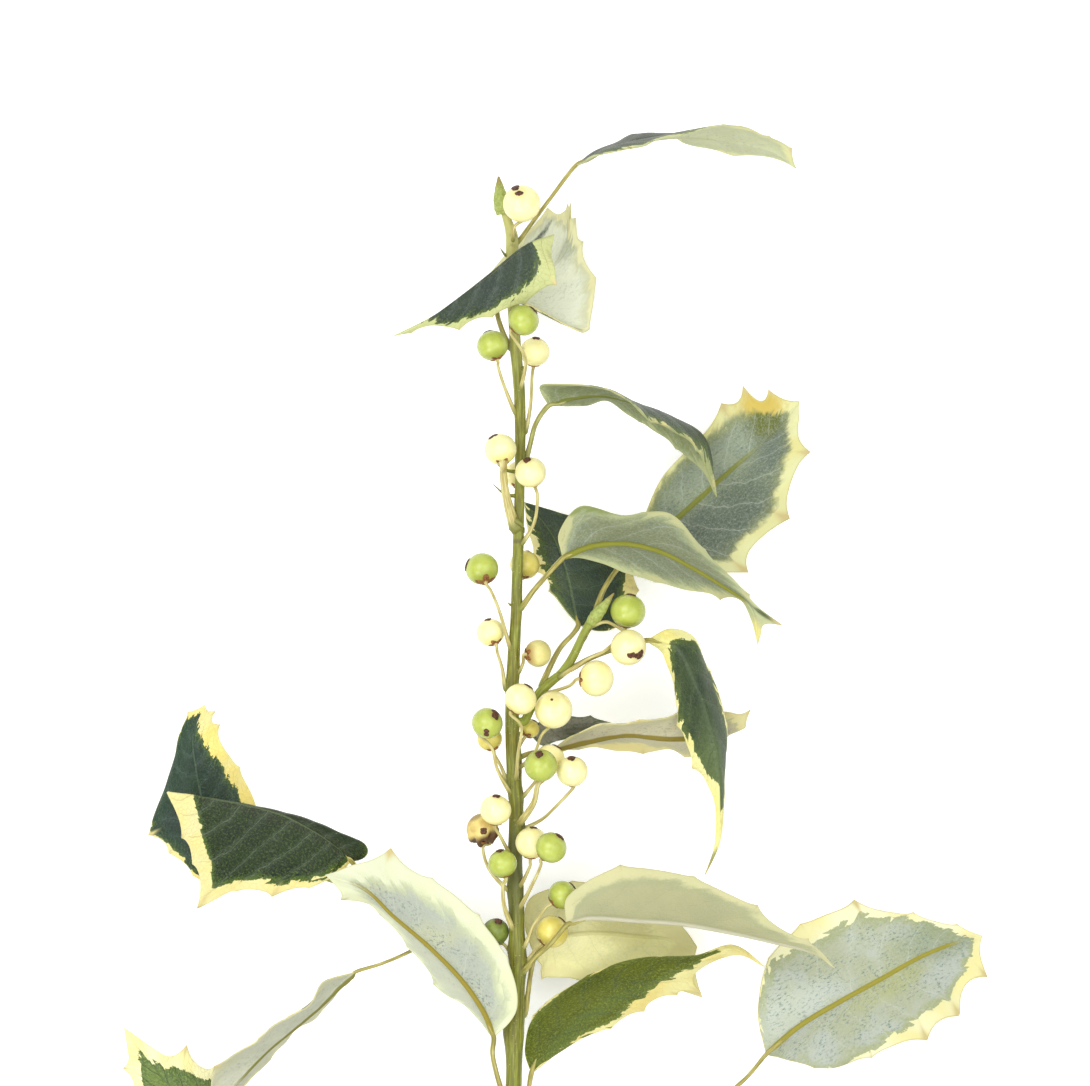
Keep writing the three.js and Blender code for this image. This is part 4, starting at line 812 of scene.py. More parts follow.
def halfBlade(leaf, side, share, middle, forward, length, wander):
    # middle + half·w, bulged by cup·4w(1 - w) along its upper normal, with the spines growing as w^5
    sizes = leafSizes
    margin = smoothThrough([leaf["mid"][0], *leaf[side], leaf["mid"][-1]], share)
    half = margin - middle
    width = np.linalg.norm(half, axis=1)
    sign = -1 if side == "left" else 1
    upward = unit(np.cross(half, forward)) * sign
    reach, forwards, sharp = marginSpines(leaf, side, share, length)
    spine = unit(half) * reach[:, None] + forward * forwards[:, None]
    w = (1 - np.cos(np.linspace(0, np.pi, sizes["halfColumns"] + 1))) / 2
    wave = np.sin(share * 21 + wander[0]) + 0.6 * np.sin(share * 37 + wander[1])
    lift = (width * sizes["cup"])[:, None] * 4 * w * (1 - w)
    lift = lift + (wave * sizes["ruffle"] * ease(width, 0, 6))[:, None] * w**3
    vein = (share[:, None] - sizes["sweep"] * w**1.15) * sizes["veins"]
    vein = vein + (0.5 if side == "right" else 0.0)
    fade = ease(w, 0, 0.15) * ease(1 - w, 0, 0.2) * ease(width, 2, 7)[:, None]
    lift = lift + sizes["quilt"] * np.abs(np.sin(np.pi * vein)) ** 0.8 * fade
    grid = middle[:, None] + half[:, None] * w[:, None] + spine[:, None] * (w**5)[:, None]
    grid = grid + upward[:, None] * lift[..., None]
    edge = width[:, None] * (1 - w)
    inside = edge - evenly(leaf[side + "Cream"], share)[:, None]
    sharp = sharp[:, None] * w**8
    across = sign * width[:, None] * w
    values = dict(grid=grid, edge=edge, inside=inside, sharp=sharp, across=across, vein=vein,
                  w=w + 0 * edge)
    return values if side == "right" else {k: v[:, ::-1] for k, v in values.items()}


def makeLeaf(name, leaf, seed):
    # a sheet between two offsets of one surface: up by thin - groove, down by thin + ridge, and its
    # margin rounds off as sqrt(1 - (1 - edge / rim)²); the stalk is a round profile along its route
    sizes = leafSizes
    share = bladeRows(leaf)
    middle = smoothThrough(leaf["mid"], share)
    forward = unit(np.gradient(middle, share, axis=0))
    along = np.concatenate([[0], np.cumsum(np.linalg.norm(np.diff(middle, axis=0), axis=1))])
    wander = np.random.default_rng(seed).uniform(0, 6, (2, 2))
    left = halfBlade(leaf, "left", share, middle, forward, along[-1], wander[0])
    right = halfBlade(leaf, "right", share, middle, forward, along[-1], wander[1])
    sheet = {k: np.concatenate([left[k], right[k][:, 1:]], axis=1) for k in left}
    grid = sheet["grid"]
    normal = unit(np.cross(np.gradient(grid, axis=1), np.gradient(grid, axis=0)))
    normal[0], normal[-1] = normal[1], normal[-2]
    inward = np.clip(sheet["edge"] / sizes["rim"], 0, 1)
    thin = np.sqrt(1 - (1 - inward) ** 2) * sizes["thickness"] / 2
    narrow = sizes["ribFade"]
    ribWidth = (narrow + (sizes["ridgeWidth"] - narrow) * (1 - share) ** 0.8)[:, None]
    rib = np.abs(sheet["across"]) / ribWidth
    closing = ease(share, 0, 0.05)[:, None] * ease(1 - share, 0, 0.04)[:, None]
    ridge = (sizes["ridge"] * leaf.get("ridge", 1) * (1 - share) ** 0.9)[:, None] * closing
    top = grid + normal * (thin - sizes["groove"] * np.exp(-((rib * 2) ** 2)) * closing)[..., None]
    under = grid - normal * (thin + ridge * np.exp(-(rib**2)) * (thin > 0))[..., None]

    def loop(upper, lower):
        return np.concatenate([upper, lower[:, -2:0:-1]], axis=1)

    def both(values):
        return loop(values, values)

    place = stack(both(along[:, None] + 0 * rib), both(sheet["across"]), both(sheet["edge"]))
    tone = stack(both(sheet["inside"]), both(sheet["vein"]), both(sheet["sharp"]))
    ribs = stack(both(rib), both(share[:, None] + 0 * rib), both(sheet["w"]))
    columns = grid.shape[1]
    lowerFace = (np.arange(2 * columns - 2) >= columns - 1).astype(int)
    finish = lowerFace[None].repeat(len(share) - 1, 0)
    base, tip = leaf["mid"][0], leaf["mid"][-1]
    blade = closedSurface(loop(top, under), base, tip, place, tone, ribs, finish)
    centre = columns // 2
    runRows = np.searchsorted(share, sizes["runUnder"])
    hidden = [middle[k] - normal[k, centre] * sizes["runDepth"] for k in runRows]
    roots = stalkRoot(leaf["stem"], leaf["seatY"], leaf["stalk"][0])
    ending = [hidden[1]] if "tucked" in leaf else [base, *hidden]  # a tucked one comes from below
    route = [*roots, *leaf["stalk"], *ending]
    run = np.linspace(0, 1, sizes["stalkRows"])
    stalkRadius = evenly(sizes["stalkRadius"], run) * leaf.get("stout", 1)
    stalk = carried(smoothThrough(route, run), stalkRadius, sizes["stalkSides"], finish=2)
    patches = leaf.get("patches", []), leaf.get("creamPatches", [])
    finishes = [
        leafFinish(name + ".upper", dict(upperLook, **leaf.get("upper", {})), *patches, seed),
        leafFinish(name + ".underside", dict(underLook, **leaf.get("under", {})), *patches, seed),
        stalkFinish(name + ".stalk", dict(stalkLook, **leaf.get("stalkTint", {}))),
    ]
    addPiece(name.replace("leaf_", "leaf."), [blade, stalk], finishes, name)


# jag and cells: how ragged the cream's edge is; haze: pale bands beside the side veins; grit: yellow
# grains, more at the rim with rimGrit; sheer: the share of light let through
upperLook = dict(
    cream=(240, 234, 176), warm=(240, 228, 152), olive=(82, 100, 46), green=(50, 68, 38), deep=(40, 56, 42),
    vein=(96, 114, 84), rib=(104, 120, 84), edge=(226, 220, 156), tip=(216, 202, 138), speck=(30, 42, 32),
    grit=(104, 124, 60), gritShare=0.2, jag=2.0, cells=2.0,
    soft=0.12, deepFrom=0.2, deepTo=2.4,  # mm past the cream's edge, where green and deep green are full
    specks=0.4, speckFade=0.0, veinShow=0.4, ribShow=0.6, ribReach=0.6, veinRise=-0.7,
    ribEnd=(0.93, 0.76), rimGrit=0.4, haze=0.25, roughness=0.36, relief=0.2, sheer=0.08, specular=0.35,
)
underLook = dict(
    cream=(234, 234, 184), warm=(234, 228, 162), olive=(188, 196, 152), green=(184, 194, 174),
    deep=(188, 200, 194), vein=(212, 218, 202), rib=(166, 150, 64), edge=(216, 210, 150),
    tip=(212, 198, 138), speck=(120, 142, 134), grit=(204, 210, 196),
    gritShare=0.3, jag=2.0, cells=1.8, soft=0.3,
    deepFrom=0.2, deepTo=3.0, specks=0.5, speckFade=0.0, veinShow=0.3, ribShow=1.0, ribReach=1.25,
    veinRise=0.3, ribEnd=(0.93, 0.76), rimGrit=0.0, haze=0.12, roughness=0.55, relief=0.12,
    sheer=0.2, specular=0.3,
)
stalkLook = dict(
    base=(170, 160, 84), light=(202, 194, 130), dark=(130, 124, 58), root=(128, 134, 58),
    rootSpan=(3.6, 0.9), roughness=0.5, relief=0.08,  # the bark's colour runs up the first mm
)


def patchShare(share, across, wobble, patch):
    # an oval patch with a ragged edge: the distance from its middle, in half sizes
    u = maths("DIVIDE", maths("SUBTRACT", share, patch["at"][0]), patch["size"][0])
    v = maths("DIVIDE", maths("SUBTRACT", across, patch["at"][1]), patch["size"][1])
    far = lengthOf(vectorOf(u, v))
    return times(step(plus(far, wobble), 1.2, 0.4), patch["share"])


def leafFinish(name, look, patches, creamPatches, seed):
    # cream where the distance from the margin, jagged by noise and by cells drawn out along the veins,
    # is under the cream's width; then olive, green and deep green further in
    look = newFinish(name, look)
    along, across, edge = channels("place")
    inside, vein, sharp = channels("tone")
    rib, share, size = channels("rib")
    flat = vectorOf(plus(along, seed * 41.0), across)
    skewed = vectorOf(maths("MULTIPLY_ADD", vein, 5.0, seed * 17.0), times(across, 0.55))
    waves = noise(flat, 0.28, 4, 0.6)
    reach = plus(inside, centred(waves, look["jag"]))
    reach = plus(reach, centred(cells(skewed, 0.55), look["cells"]))
    reach = plus(reach, centred(cells(flat, 1.3), 0.5))
    inGreen = step(reach, -look["soft"], look["soft"])
    grain = noise(flat, 1.1, 4, 0.65)
    inDeep = step(plus(reach, centred(grain, 3.0)), look["deepFrom"], look["deepTo"])
    slow = noise(flat, 0.09, 3)
    cream = blend(step(slow, 0.35, 0.65), look["cream"], look["warm"])
    green = blend(step(slow, 0.4, 0.62), look["green"], look["deep"])
    green = blend(inDeep, look["olive"], green)
    wobble = centred(grain, 1.0)
    for patch in patches:
        green = blend(patchShare(share, across, wobble, patch), green, colour(*patch["tint"]))
    strokes = noise(vectorOf(times(along, 0.7), across), 1.5, 4, 0.75)
    speck = times(step(strokes, 0.5, 0.64), inDeep)
    crowd = step(noise(flat, 0.2, 2), 0.3, 0.6)
    crowd = maths("SUBTRACT", crowd, times(step(size, 0.15, 0.7), look["speckFade"]))
    speck = times(speck, maths("MAXIMUM", crowd, 0.1))
    green = blend(times(speck, look["specks"]), green, look["speck"])
    grit = step(noise(flat, 1.9, 4, 0.8), 0.48, 0.64)
    gritty = maths("MULTIPLY_ADD", step(reach, 4.5, 0.3), look["rimGrit"], look["gritShare"])
    green = blend(times(grit, gritty), green, look["grit"])
    for patch in creamPatches:
        cream = blend(patchShare(share, across, wobble, patch), cream, colour(*patch["tint"]))
    tint = blend(inGreen, cream, green)
    bent = plus(vein, centred(noise(flat, 0.35, 2), 0.3))
    off = maths("ABSOLUTE", centred(maths("FRACT", bent), 1.0))
    fromVein = maths("SUBTRACT", 0.5, off)
    line = times(step(fromVein, 0.034, 0.004), step(edge, 0.5, 4.0))
    veinLine = times(line, look["veinShow"])
    tint = blend(times(veinLine, inGreen), tint, look["vein"])
    haze = times(step(fromVein, 0.26, 0.0), step(edge, 0.5, 5.0))
    haze = times(haze, times(step(grain, 0.3, 0.7), look["haze"]))
    tint = blend(times(haze, inGreen), tint, look["vein"])
    net = node("TexVoronoi", {"Vector": flat, "Scale": 0.8}, feature="DISTANCE_TO_EDGE").outputs["Distance"]
    netLine = step(net, 0.09, 0.02)
    netShare = times(times(netLine, 0.12), inGreen)
    tint = blend(netShare, tint, look["vein"])
    ribLine = times(step(rib, look["ribReach"], look["ribReach"] * 0.6), look["ribShow"])
    ribLine = times(ribLine, step(share, *look["ribEnd"]))
    tint = blend(ribLine, tint, look["rib"])
    rim = times(step(edge, 0.4, 0.12), 0.6)
    tint = blend(rim, tint, look["edge"])
    tint = blend(step(sharp, 0.1, 0.6), tint, look["tip"])
    height = maths("MULTIPLY_ADD", line, look["veinRise"], centred(grain, 0.5))
    height = maths("MULTIPLY_ADD", netLine, look["veinRise"] * 0.5, height)
    roughness = maths("MULTIPLY_ADD", grain, 0.16, look["roughness"])
    gloss = {"Specular IOR Level": look["specular"]}
    return finishSurface(tint, roughness, height, look["relief"], look["sheer"], **gloss)


def stalkFinish(name, look):
    # streaks along the stalk: noise of (x, y, along / 10), dark under 0.36 and light over 0.75
    look = newFinish(name, look)
    x, y, along = channels("place")
    streaks = noise(vectorOf(x, y, times(along, 0.1)), 2.4, 4)
    tint = blend(step(streaks, 0.36, 0.6), look["dark"], look["base"])
    tint = blend(step(streaks, 0.56, 0.75), tint, look["light"])
    tint = blend(step(along, *look["rootSpan"]), tint, look["root"])
    return finishSurface(tint, look["roughness"], streaks, look["relief"])


# berries


berrySizes = dict(
    rows=26, around=36, stalkRows=30, stalkSides=10,
    squash=0.04, dimple=0.035,  # flattening along the axis, and the dimple at the stalk
    calyxReach=1.5, calyxNotch=0.4, calyxThick=0.22,  # the dried calyx round the stalk
    scarReach=1.2, scarNotch=0.1, scarThick=0.2,  # the dried stigma
    capSides=32,  # of a dried cap; its rings go inwards by these shares and rise by these heights
    capOut=[0.95, 1.008, 1.0, 0.92, 0.7, 0.4, 0.12], capLift=[-1.0, -0.8, 0.1, 0.7, 1.0, 1.1, 1.0],
    stalkRadius=[1.1, 0.6, 0.42, 0.38, 0.4, 0.6], stalkInside=(0.9, 0.3),  # mm out and in
)


def fruit(seatY, via, at, radius, ripe, **others):
    # where its stalk leaves the stem, the stalk's points, the fruit's middle, its size and its colour
    return dict(seatY=seatY, via=via, at=at, radius=radius, ripe=ripe, **others)


# scars: each a direction, a size and how much it is drawn out
berries = [
    fruit(130.6, [(-10.4, 133.8, 29.8)], (-8.5, 139.5, 32.4), 4.7, "cream", faces=(-0.2, 0.7, 0.7),
          scars=[((-0.37, 0.9, 0.22), 1.5, -0.35), ((-0.15, 0.56, 0.81), 0.9, -0.2)]),
    fruit(94, [(-7.6, 101, 32)], (-8.1, 110.5, 36), 3.9, "green", faces=(0.7, 0.7, 0.1)),
    fruit(88, [(-13, 94.5, 27.4), (-14.4, 99, 28.4)], (-15.8, 104.3, 29.4), 3.9, "green",
          faces=(-0.3, 0.9, -0.2)),
    fruit(83, [(-6.3, 90, 24.6), (-6, 96.4, 23.4)], (-5.3, 102.8, 22.8), 3.75, "cream",
          faces=(0.1, 1, 0.2)),
    fruit(60, [(-12.5, 67.5, 27.6), (-13.1, 72.6, 28.8)], (-13.8, 78.5, 30), 4, "cream",
          faces=(-0.15, 0.85, -0.4), scars=[((-0.5, 0.85, 0.2), 1.2, 0.2)], stout=2.5),
    fruit(55.5, [(-5.4, 60.4, 27.4), (-4.6, 66.6, 28.6)], (-6.3, 72.8, 29.8), 3.9, "cream",
          faces=(-0.25, 0.85, 0.45)),
    fruit(29.5, [(-14, 38, 29), (-16, 43, 28)], (-18.4, 48.8, 27.4), 4.1, "green",
          faces=(-0.25, 0.85, -0.5), scars=[((-0.95, 0.3, 0.1), 1.3, 0.3), ((-1, 0.15, 0), 0.6, 0)],
          calyx=2.1),
    fruit(42, [(-9, 45, 20.6)], (-7.8, 49.8, 18.4), 3.7, "yellow"),
    fruit(19, [(-13.4, 24, 24.6), (-14.6, 28, 24.4)], (-16.3, 33, 24.2), 3.5, "cream",
          faces=(-0.35, 0.8, -0.35), scars=[((-0.2, 0.95, 0.2), 1, 0.1)]),
    fruit(23, [(-8.2, 25.4, 25.6)], (-4.5, 27.8, 26), 3.4, "cream", faces=(0.9, 0.1, -0.45), scars=[],
          calyx=1.5, skin="tan"),
    fruit(35, [(12.6, 35.6, 24.4)], (17.9, 38.3, 23.4), 4.4, "green", stem="right_twig",
          faces=(0.2, 0.97, 0.1)),
    fruit(22.4, [(7.6, 26.2, 26.6), (12, 28.4, 27.8)], (18, 29.3, 29), 4.5, "cream", stem="right_twig",
          faces=(0.5, -0.4, 0.77),
          scars=[((0.18, -0.45, 0.87), 1, -0.25), ((0.45, -0.47, 0.76), 0.7, 0),
                 ((0.68, -0.42, 0.6), 1.15, -0.2)]),
    fruit(18.4, [(3, 19.6, 26.4)], (10, 21.6, 28), 4.5, "cream", stem="right_twig", faces=(1, 0.05, -0.2),
          scars=[]),
    fruit(-3.5, [(-9.4, 3, 28.4), (-8.6, 9.6, 30.4)], (-8.8, 16.5, 32.6), 4, "cream",
          faces=(0.55, 0.85, 0.1)),
    fruit(-1, [(-5.4, 3, 27), (-3.5, 7.6, 27.6)], (-0.6, 13.8, 28.6), 4.7, "cream", faces=(-0.1, 0.55, 0.8),
          scars=[((-0.1, 0.55, 0.8), 0.35, 0)]),
    fruit(-6.5, [(-14.6, -1, 27.4), (-16, 4.4, 28.6)], (-17.1, 10.5, 30), 3.9, "green",
          faces=(0.5, 0.6, 0.6), scars=[((0.55, 0.6, 0.55), 1.4, 0.3), ((-0.05, -0.62, 0.78), 0.9, 0.4)]),
    fruit(-4, [(-13.6, -0.6, 22.8), (-15.2, 2.4, 22.4)], (-16.5, 6.5, 22), 3.1, "yellow"),
    fruit(3.5, [(-8.6, 5.6, 20.6)], (-6.4, 9, 19.6), 2.3, "yellow"),
    fruit(-14, [(-5.6, -9.4, 29), (-4.6, -5, 31.4)], (-3.8, 0, 34), 4.1, "green", faces=(-0.1, 0.75, 0.65),
          stout=1.7),
    fruit(-8, [(-6.2, -5.4, 24.2), (-4, -2.6, 24)], (-1.5, 1.5, 24.2), 3.75, "cream"),
    fruit(-15.6, [(-3.4, -13.4, 23), (0.6, -9.6, 26)], (4, -1.5, 29.6), 3.9, "cream",
          faces=(-0.05, 0.9, 0.4)),
    fruit(-22, [(-14, -17.4, 27.4)], (-15, -11.1, 30), 3.9, "cream", faces=(0.05, 0.95, 0.25)),
    fruit(-31, [(-16.6, -26, 22.6), (-18.2, -20.6, 22.8)], (-18.4, -15.8, 23), 3.9, "wilted",
          faces=(-0.4, 0.75, 0.3), scars=[((0.1, -0.15, 0.98), 0.9, 0)], calyx=2.6, shrivel=0.5),
    fruit(-30, [(-6.6, -25.4, 27)], (-6, -19.3, 28.4), 4.1, "cream", faces=(0.1, 1, 0.1)),
    fruit(-35, [(-5.6, -29, 29.4), (-3.8, -24.8, 32.6)], (-1.2, -20.3, 35.6), 3.9, "green",
          faces=(0.6, 0.75, 0.3)),
    fruit(-40.5, [(-12.9, -35, 25.8), (-13.2, -30, 27.6)], (-13.3, -24.4, 29.4), 3.6, "green",
          faces=(-0.2, 0.97, 0.2), stout=1.3),
    fruit(-45, [(-5.6, -40, 23), (-2.6, -35.6, 22.8)], (1.6, -32.3, 22.6), 3.6, "green"),
    fruit(-49, [(-5.4, -46.4, 20.6)], (-1, -41.5, 20.4), 4.1, "yellow"),
    fruit(-46, [(-13.2, -44.6, 19.6)], (-15, -41.4, 19.4), 3.3, "green", faces=(0.2, 0.8, 0.5),
          shrivel=0.22, skin="dull"),
    fruit(65, [(-9.6, 67, 20.6)], (-9.3, 72.3, 18.6), 3.5, "cream"),
]


def ballAims(axis, polar):
    # (sin p·cos t, sin p·sin t, -cos p) for the polar angle p from the stalk end, in the fruit's own
    # axes and in the frame
    away = np.eye(3)[np.argmin(np.abs(axis))]
    across = unit(np.cross(axis, away))
    up = np.cross(axis, across)
    turn = np.linspace(0, 2 * np.pi, polar.shape[1], endpoint=False)
    sphere = stack(np.sin(polar) * np.cos(turn), np.sin(polar) * np.sin(turn), -np.cos(polar))
    return sphere, sphere @ np.array([across, up, axis])


def berrySkin(aims, axis, radius):
    # how far the skin stands from the middle: radius·(1 - squash·cos² - a dimple at the stalk end)
    cosine = np.clip(aims @ axis, -1, 1)
    dimple = berrySizes["dimple"] * np.exp(-((np.arccos(-cosine) / 0.4) ** 2))
    return radius * (1 - dimple - berrySizes["squash"] * cosine**2)


def driedCap(centre, axis, radius, cap, finish):
    # a scab on the skin: its rim is reach·(1 + notch·cos 4a + stretch·cos 2a), with its edge sunk in
    aim = unit(np.array(cap["aim"], float))
    turn = np.linspace(0, 2 * np.pi, berrySizes["capSides"], endpoint=False)
    shape = cap["notch"] * np.cos(4 * turn + cap["turn"]) + cap["stretch"] * np.cos(2 * turn)
    rim = cap["reach"] * (1 + shape + 0.06 * np.cos(7 * turn + cap["turn"])) / radius
    out = np.array(berrySizes["capOut"])[:, None]
    lift = np.array(berrySizes["capLift"])[:, None] * cap["thick"]
    sphere, aims = ballAims(-aim, out * rim)
    grid = centre + aims * (berrySkin(aims, axis, radius) + lift)[..., None]
    skin = berrySkin(aim, axis, radius)
    return closedSurface(grid[:, ::-1], centre + aim * skin * 0.88, centre + aim * (skin + cap["thick"]),
                         sphere[:, ::-1] * 3, np.zeros(3), finish=finish)


def makeBerry(name, berry, seed):
    # a ball of aims · skin, wrinkled by crossing sine waves where it has shrivelled, with its dried
    # stigma and calyx on it, and its stalk, a round profile carried from the bark to the fruit
    sizes = berrySizes
    centre, radius = np.array(berry["at"], float), berry["radius"]
    last = np.array(berry["via"][-1], float)
    axis = unit(np.array(berry["faces"], float)) if "faces" in berry else unit(centre - last)
    polar = np.linspace(0, np.pi, sizes["rows"] + 2)[1:-1, None] + np.zeros(sizes["around"])
    sphere, aims = ballAims(axis, polar)
    turn = np.linspace(0, 2 * np.pi, sizes["around"], endpoint=False)
    folds = np.sin(5 * turn + 2 * np.sin(3 * polar)) + np.sin(8 * turn - 5 * polar + 1)
    folds *= ease(np.cos(polar), -0.5, 0.7) * berry.get("shrivel", 0)
    grid = centre + aims * (berrySkin(aims, axis, radius) + folds)[..., None]
    entry = centre - axis * berrySkin(-axis, axis, radius)
    # how far each point of the skin faces up, which the finish uses to paint shade on the flanks
    height = stack(aims[..., 2], 0.0, 0.0)
    surfaces = [closedSurface(grid, entry, centre + axis * berrySkin(axis, axis, radius), sphere, height)]
    for aim, reach, stretch in berry.get("scars", [(axis, sizes["scarReach"], 0.15)]):
        cap = dict(aim=aim, reach=reach, stretch=stretch, notch=sizes["scarNotch"],
                   thick=sizes["scarThick"], turn=seed)
        surfaces.append(driedCap(centre, axis, radius, cap, 1))
    cap = dict(aim=-axis, reach=berry.get("calyx", sizes["calyxReach"]), stretch=0,
               notch=sizes["calyxNotch"], thick=sizes["calyxThick"], turn=seed)
    surfaces.append(driedCap(centre, axis, radius, cap, 2))
    stemName = berry.get("stem", "main_stem")
    roots = stalkRoot(stemName, berry["seatY"], berry["via"][0])
    run = np.linspace(0, 1, sizes["stalkRows"])
    before, inside = sizes["stalkInside"]
    path = smoothThrough([*roots, *berry["via"], entry - axis * before, entry + axis * inside], run)
    thickness = evenly(sizes["stalkRadius"], run) * berry.get("stout", 1)
    surfaces.append(carried(path, thickness, sizes["stalkSides"], finish=3))
    finishes = [berryFinishes[berry.get("skin", berry["ripe"])], scarBrown, calyxBrown, berryStalk]
    addPiece(name.replace("_", "."), surfaces, finishes, name)


def berryFinish(name, look):
    # a waxy skin: slow clouds, painted shade on the flanks that face sideways, a greener end at the stalk,
    # fine pores, light carried inside
    look = newFinish(name, look)
    x, y, z = channels("place")
    ball = vectorOf(x, y, z)
    clouds = noise(ball, 1.6, 3)
    pores = noise(ball, 16.0, 2)
    tint = blend(step(clouds, 0.35, 0.68), look["base"], look["cloud"])
    height, _, _ = channels("tone")
    # painted shade: flanks that face sideways, away from the lamps overhead, are tinted darker and yellower
    paintedFlankShade = times(step(height, 0.75, -0.2), 0.75)
    tint = blend(paintedFlankShade, tint, look["paintedFlankShade"])
    tint = blend(step(z, *look["footSpan"]), tint, look["foot"])
    tint = blend(times(step(z, 0.82, 0.97), 0.6), tint, look["crown"])
    tint = blend(times(step(pores, 0.62, 0.72), 0.2), tint, look["foot"])
    roughness = maths("MULTIPLY_ADD", clouds, 0.12, look["roughness"])
    values = {"Subsurface Weight": look["glow"], "Subsurface Scale": 2 * mm,
              "Subsurface Radius": (1.0, 0.8, 0.35), "Specular IOR Level": 0.5}
    return finishSurface(tint, roughness, pores, look["relief"], **values)


def driedFinish(name, look):
    # dark brown, crumpled and dull
    look = newFinish(name, look)
    x, y, z = channels("place")
    crumple = noise(vectorOf(x, y, z), 2.2, 4, 0.6)
    tint = blend(step(crumple, 0.35, 0.65), look["dark"], look["base"])
    return finishSurface(tint, look["roughness"], crumple, look["relief"])


berryLook = dict(footSpan=(-0.35, -1.0), roughness=0.2, glow=0.2, relief=0.03)
# the flank colour of each skin is painted shade on its sideways flanks
berryLooks = dict(
    cream=dict(base=(248, 242, 182), cloud=(246, 236, 164), foot=(232, 222, 138), crown=(228, 212, 130),
               paintedFlankShade=(226, 214, 128)),
    yellow=dict(base=(224, 212, 114), cloud=(214, 198, 94), foot=(190, 178, 80), crown=(190, 166, 80),
                paintedFlankShade=(186, 168, 76)),
    green=dict(base=(184, 196, 92), cloud=(172, 184, 78), foot=(146, 156, 58), crown=(150, 152, 64),
               paintedFlankShade=(138, 152, 50)),
    tan=dict(base=(222, 214, 142), cloud=(212, 202, 124), foot=(170, 140, 76), crown=(190, 160, 92),
             paintedFlankShade=(186, 164, 96), roughness=0.34, glow=0.15),
    dull=dict(base=(132, 148, 62), cloud=(106, 122, 50), foot=(82, 86, 36), crown=(84, 76, 38),
              paintedFlankShade=(84, 98, 36), roughness=0.4, glow=0.1),
    wilted=dict(base=(226, 206, 124), cloud=(200, 172, 98), foot=(88, 58, 30), crown=(96, 66, 36),
                paintedFlankShade=(196, 166, 92), footSpan=(0.1, -0.4), roughness=0.5, glow=0.1),
)
scarLook = dict(base=(104, 62, 36), dark=(58, 34, 24), roughness=0.7, relief=0.15)
calyxLook = dict(scarLook, base=(158, 104, 48), dark=(98, 60, 30))
berryStalkLook = dict(
    stalkLook, base=(202, 194, 128), light=(222, 216, 160), dark=(168, 152, 86), root=(124, 126, 54)
)


# buds


budSizes = dict(
    rows=24, sides=18, scales=5, lip=0.1,  # the scales along the bud, and how far each one's rim stands out
    ends=[0.6, 0.12], swell=0.75,  # the profile at the foot and tip, and its swelling, in radii
)
budLook = dict(base=(142, 156, 72), light=(168, 180, 98), brown=(140, 104, 60), roughness=0.6, relief=0.12)
buds = {
    "tip_bud": dict(stem="main_stem", seatY=137.5, radius=1.8,
                    via=[(-13.8, 141.6, 26), (-14.3, 146.4, 26)]),
    "axillary_bud": dict(stem="right_twig", seatY=36.4, radius=1.3,
                         via=[(11.6, 39.2, 24.4), (14.4, 42.8, 25)]),
}


def makeBud(name, bud):
    # overlapping scales: the profile r(ends + swell·sin) with a wave round each scale and a lip at its rim
    sizes = budSizes
    root, bark = stalkRoot(bud["stem"], bud["seatY"], bud["via"][0])
    run = np.linspace(0, 1, sizes["rows"])
    path = smoothThrough([root, bark, *bud["via"]], run)
    swelling = sizes["swell"] * np.sin(np.pi * run**0.9)
    profile = bud["radius"] * (np.interp(run, [0, 1], sizes["ends"]) + swelling)
    angle = np.linspace(0, 2 * np.pi, sizes["sides"], endpoint=False)
    scale = run * sizes["scales"]
    wave = np.abs(np.sin(1.5 * angle + np.floor(scale)[:, None] * 1.3)) * 0.16 * (1 - run[:, None])
    lip = sizes["lip"] * (1 - np.mod(scale, 1))[:, None]
    radius = profile[:, None] * (1 + wave + lip)
    tone = stack(np.mod(scale, 1)[:, None], run[:, None], 0.0)
    body = carried(path, radius, sizes["sides"], tone)
    addPiece(name.replace("_", "."), [body], [budFinish], name)


def scaleFinish(name, look):
    # green scales with brown lips and a brown tip
    look = newFinish(name, look)
    x, y, z = channels("place")
    lip, far, _ = channels("tone")
    grain = noise(vectorOf(x, y, z), 1.6, 4)
    tint = blend(step(grain, 0.35, 0.65), look["base"], look["light"])
    brown = maths("MAXIMUM", step(lip, 0.8, 1.0), step(far, 0.75, 0.98))
    tint = blend(times(brown, 0.7), tint, look["brown"])
    return finishSurface(tint, look["roughness"], grain, look["relief"])


print("finishes")
barkOlive = barkFinish("barkOlive", barkLook)
barkGreen = barkFinish("barkGreen", twigLook)
cutWood = cutFinish("cutWood", cutLook)
berryFinishes = {
    ripe: berryFinish("skin." + ripe, dict(berryLook, **look)) for ripe, look in berryLooks.items()
}
scarBrown = driedFinish("scarBrown", scarLook)
calyxBrown = driedFinish("calyxBrown", calyxLook)
berryStalk = stalkFinish("berryStalk", berryStalkLook)
budFinish = scaleFinish("budScales", budLook)

print("stems")
twigNames = [name for name in stems if name != "main_stem"]
for stemName in stems:
    bark, slotName = (barkOlive, "stem_bark") if stemName == "main_stem" else (barkGreen, "twig_bark")
    makeStem(stemName, [bark, cutWood])

print("leaves")
for seed, (name, leaf) in enumerate(leaves.items()):
    makeLeaf(name, leaf, seed)

print("berries and buds")
for seed, berry in enumerate(berries):
    makeBerry(f"berry_{seed + 1:02d}", berry, seed)
for name, bud in buds.items():
    makeBud(name, bud)


# floor, light and camera


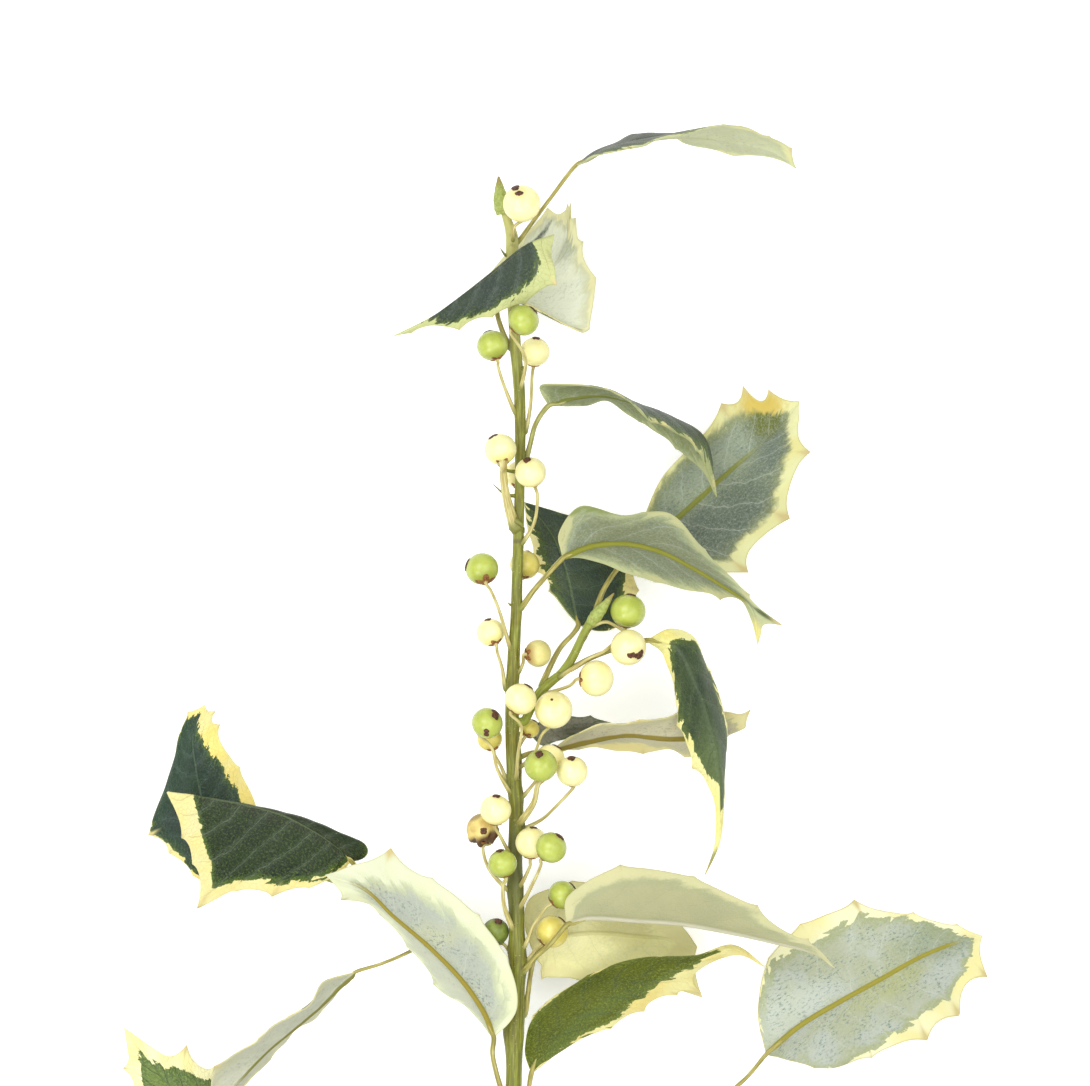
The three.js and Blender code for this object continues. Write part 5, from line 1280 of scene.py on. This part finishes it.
studio = dict(
    floorSize=4.0, floorRows=9, floorLevel=-0.0003, floorTint=(250, 250, 250), floorGlow=0.34,
    lamps=[  # where each softbox stands, its size and its power in watts
        dict(name="keyBox", at=(-0.6, 0.5, 1.5), size=1.1, power=15.2),
        dict(name="fillBox", at=(0.75, 0.1, 1.4), size=1.1, power=9),
        dict(name="footBox", at=(-0.1, -0.8, 1.4), size=1.1, power=8),
        dict(name="glintBox", at=(-0.62, -0.6, 0.95), size=0.28, power=3),
    ],
    sky=0.42,
    lens=600, sensor=36, farthest=20,
    height=4.543, aim=(-2.75, 55.25),  # camera height in metres, aim in millimetres
)


def makeFloor():
    # a flat pale sheet just under the sprig
    count = studio["floorRows"]
    across = np.linspace(-0.5, 0.5, count) * studio["floorSize"]
    x, y = np.meshgrid(across, across)
    z = studio["floorLevel"] + 0 * x
    index = np.arange(count * count).reshape(count, count)
    corners = [index[:-1, :-1], index[:-1, 1:], index[1:, 1:], index[1:, :-1]]
    faces = np.stack(corners, axis=-1).reshape(-1, 4)
    mesh = bpy.data.meshes.new("floor")
    mesh.from_pydata(stack(x, y, z).reshape(-1, 3).tolist(), [], faces.tolist())
    floor = bpy.data.objects.new("floor", mesh)
    newFinish("paleFloor")
    shader = node("BsdfPrincipled", {"Base Color": colour(*studio["floorTint"]), "Roughness": 0.9,
                                           "Specular IOR Level": 0.1, "Emission Color": (1, 1, 1, 1),
                                           "Emission Strength": studio["floorGlow"]})
    node("OutputMaterial", {"Surface": shader.outputs[0]})
    mesh.materials.append(shading["material"])
    bpy.context.scene.collection.objects.link(floor)


def makeLamps():
    # soft boxes round the camera's axis, each turned to the sprig
    for lamp in studio["lamps"]:
        light = bpy.data.lights.new(lamp["name"], "AREA")
        light.energy, light.size = lamp["power"], lamp["size"]
        holder = bpy.data.objects.new(lamp["name"], light)
        holder.location = lamp["at"]
        holder.rotation_euler = (-Vector(lamp["at"])).to_track_quat("-Z", "Y").to_euler()
        bpy.context.scene.collection.objects.link(holder)
    world = bpy.data.worlds.new("studioAir")
    world.use_nodes = True
    air = world.node_tree.nodes["Background"].inputs
    air["Color"].default_value = (1, 1, 1, 1)
    air["Strength"].default_value = studio["sky"]
    bpy.context.scene.world = world


def makeCamera():
    # a long lens straight above, the sprig's tip up
    camera = bpy.data.cameras.new("overheadCamera")
    camera.lens, camera.sensor_width = studio["lens"], studio["sensor"]
    camera.clip_end = studio["farthest"]
    holder = bpy.data.objects.new("overheadCamera", camera)
    holder.location = (studio["aim"][0] * mm, studio["aim"][1] * mm, studio["height"])
    bpy.context.scene.collection.objects.link(holder)
    bpy.context.scene.camera = holder


print("floor, light and camera")
makeFloor()
makeLamps()
makeCamera()
bpy.context.scene.view_settings.view_transform = "Standard"
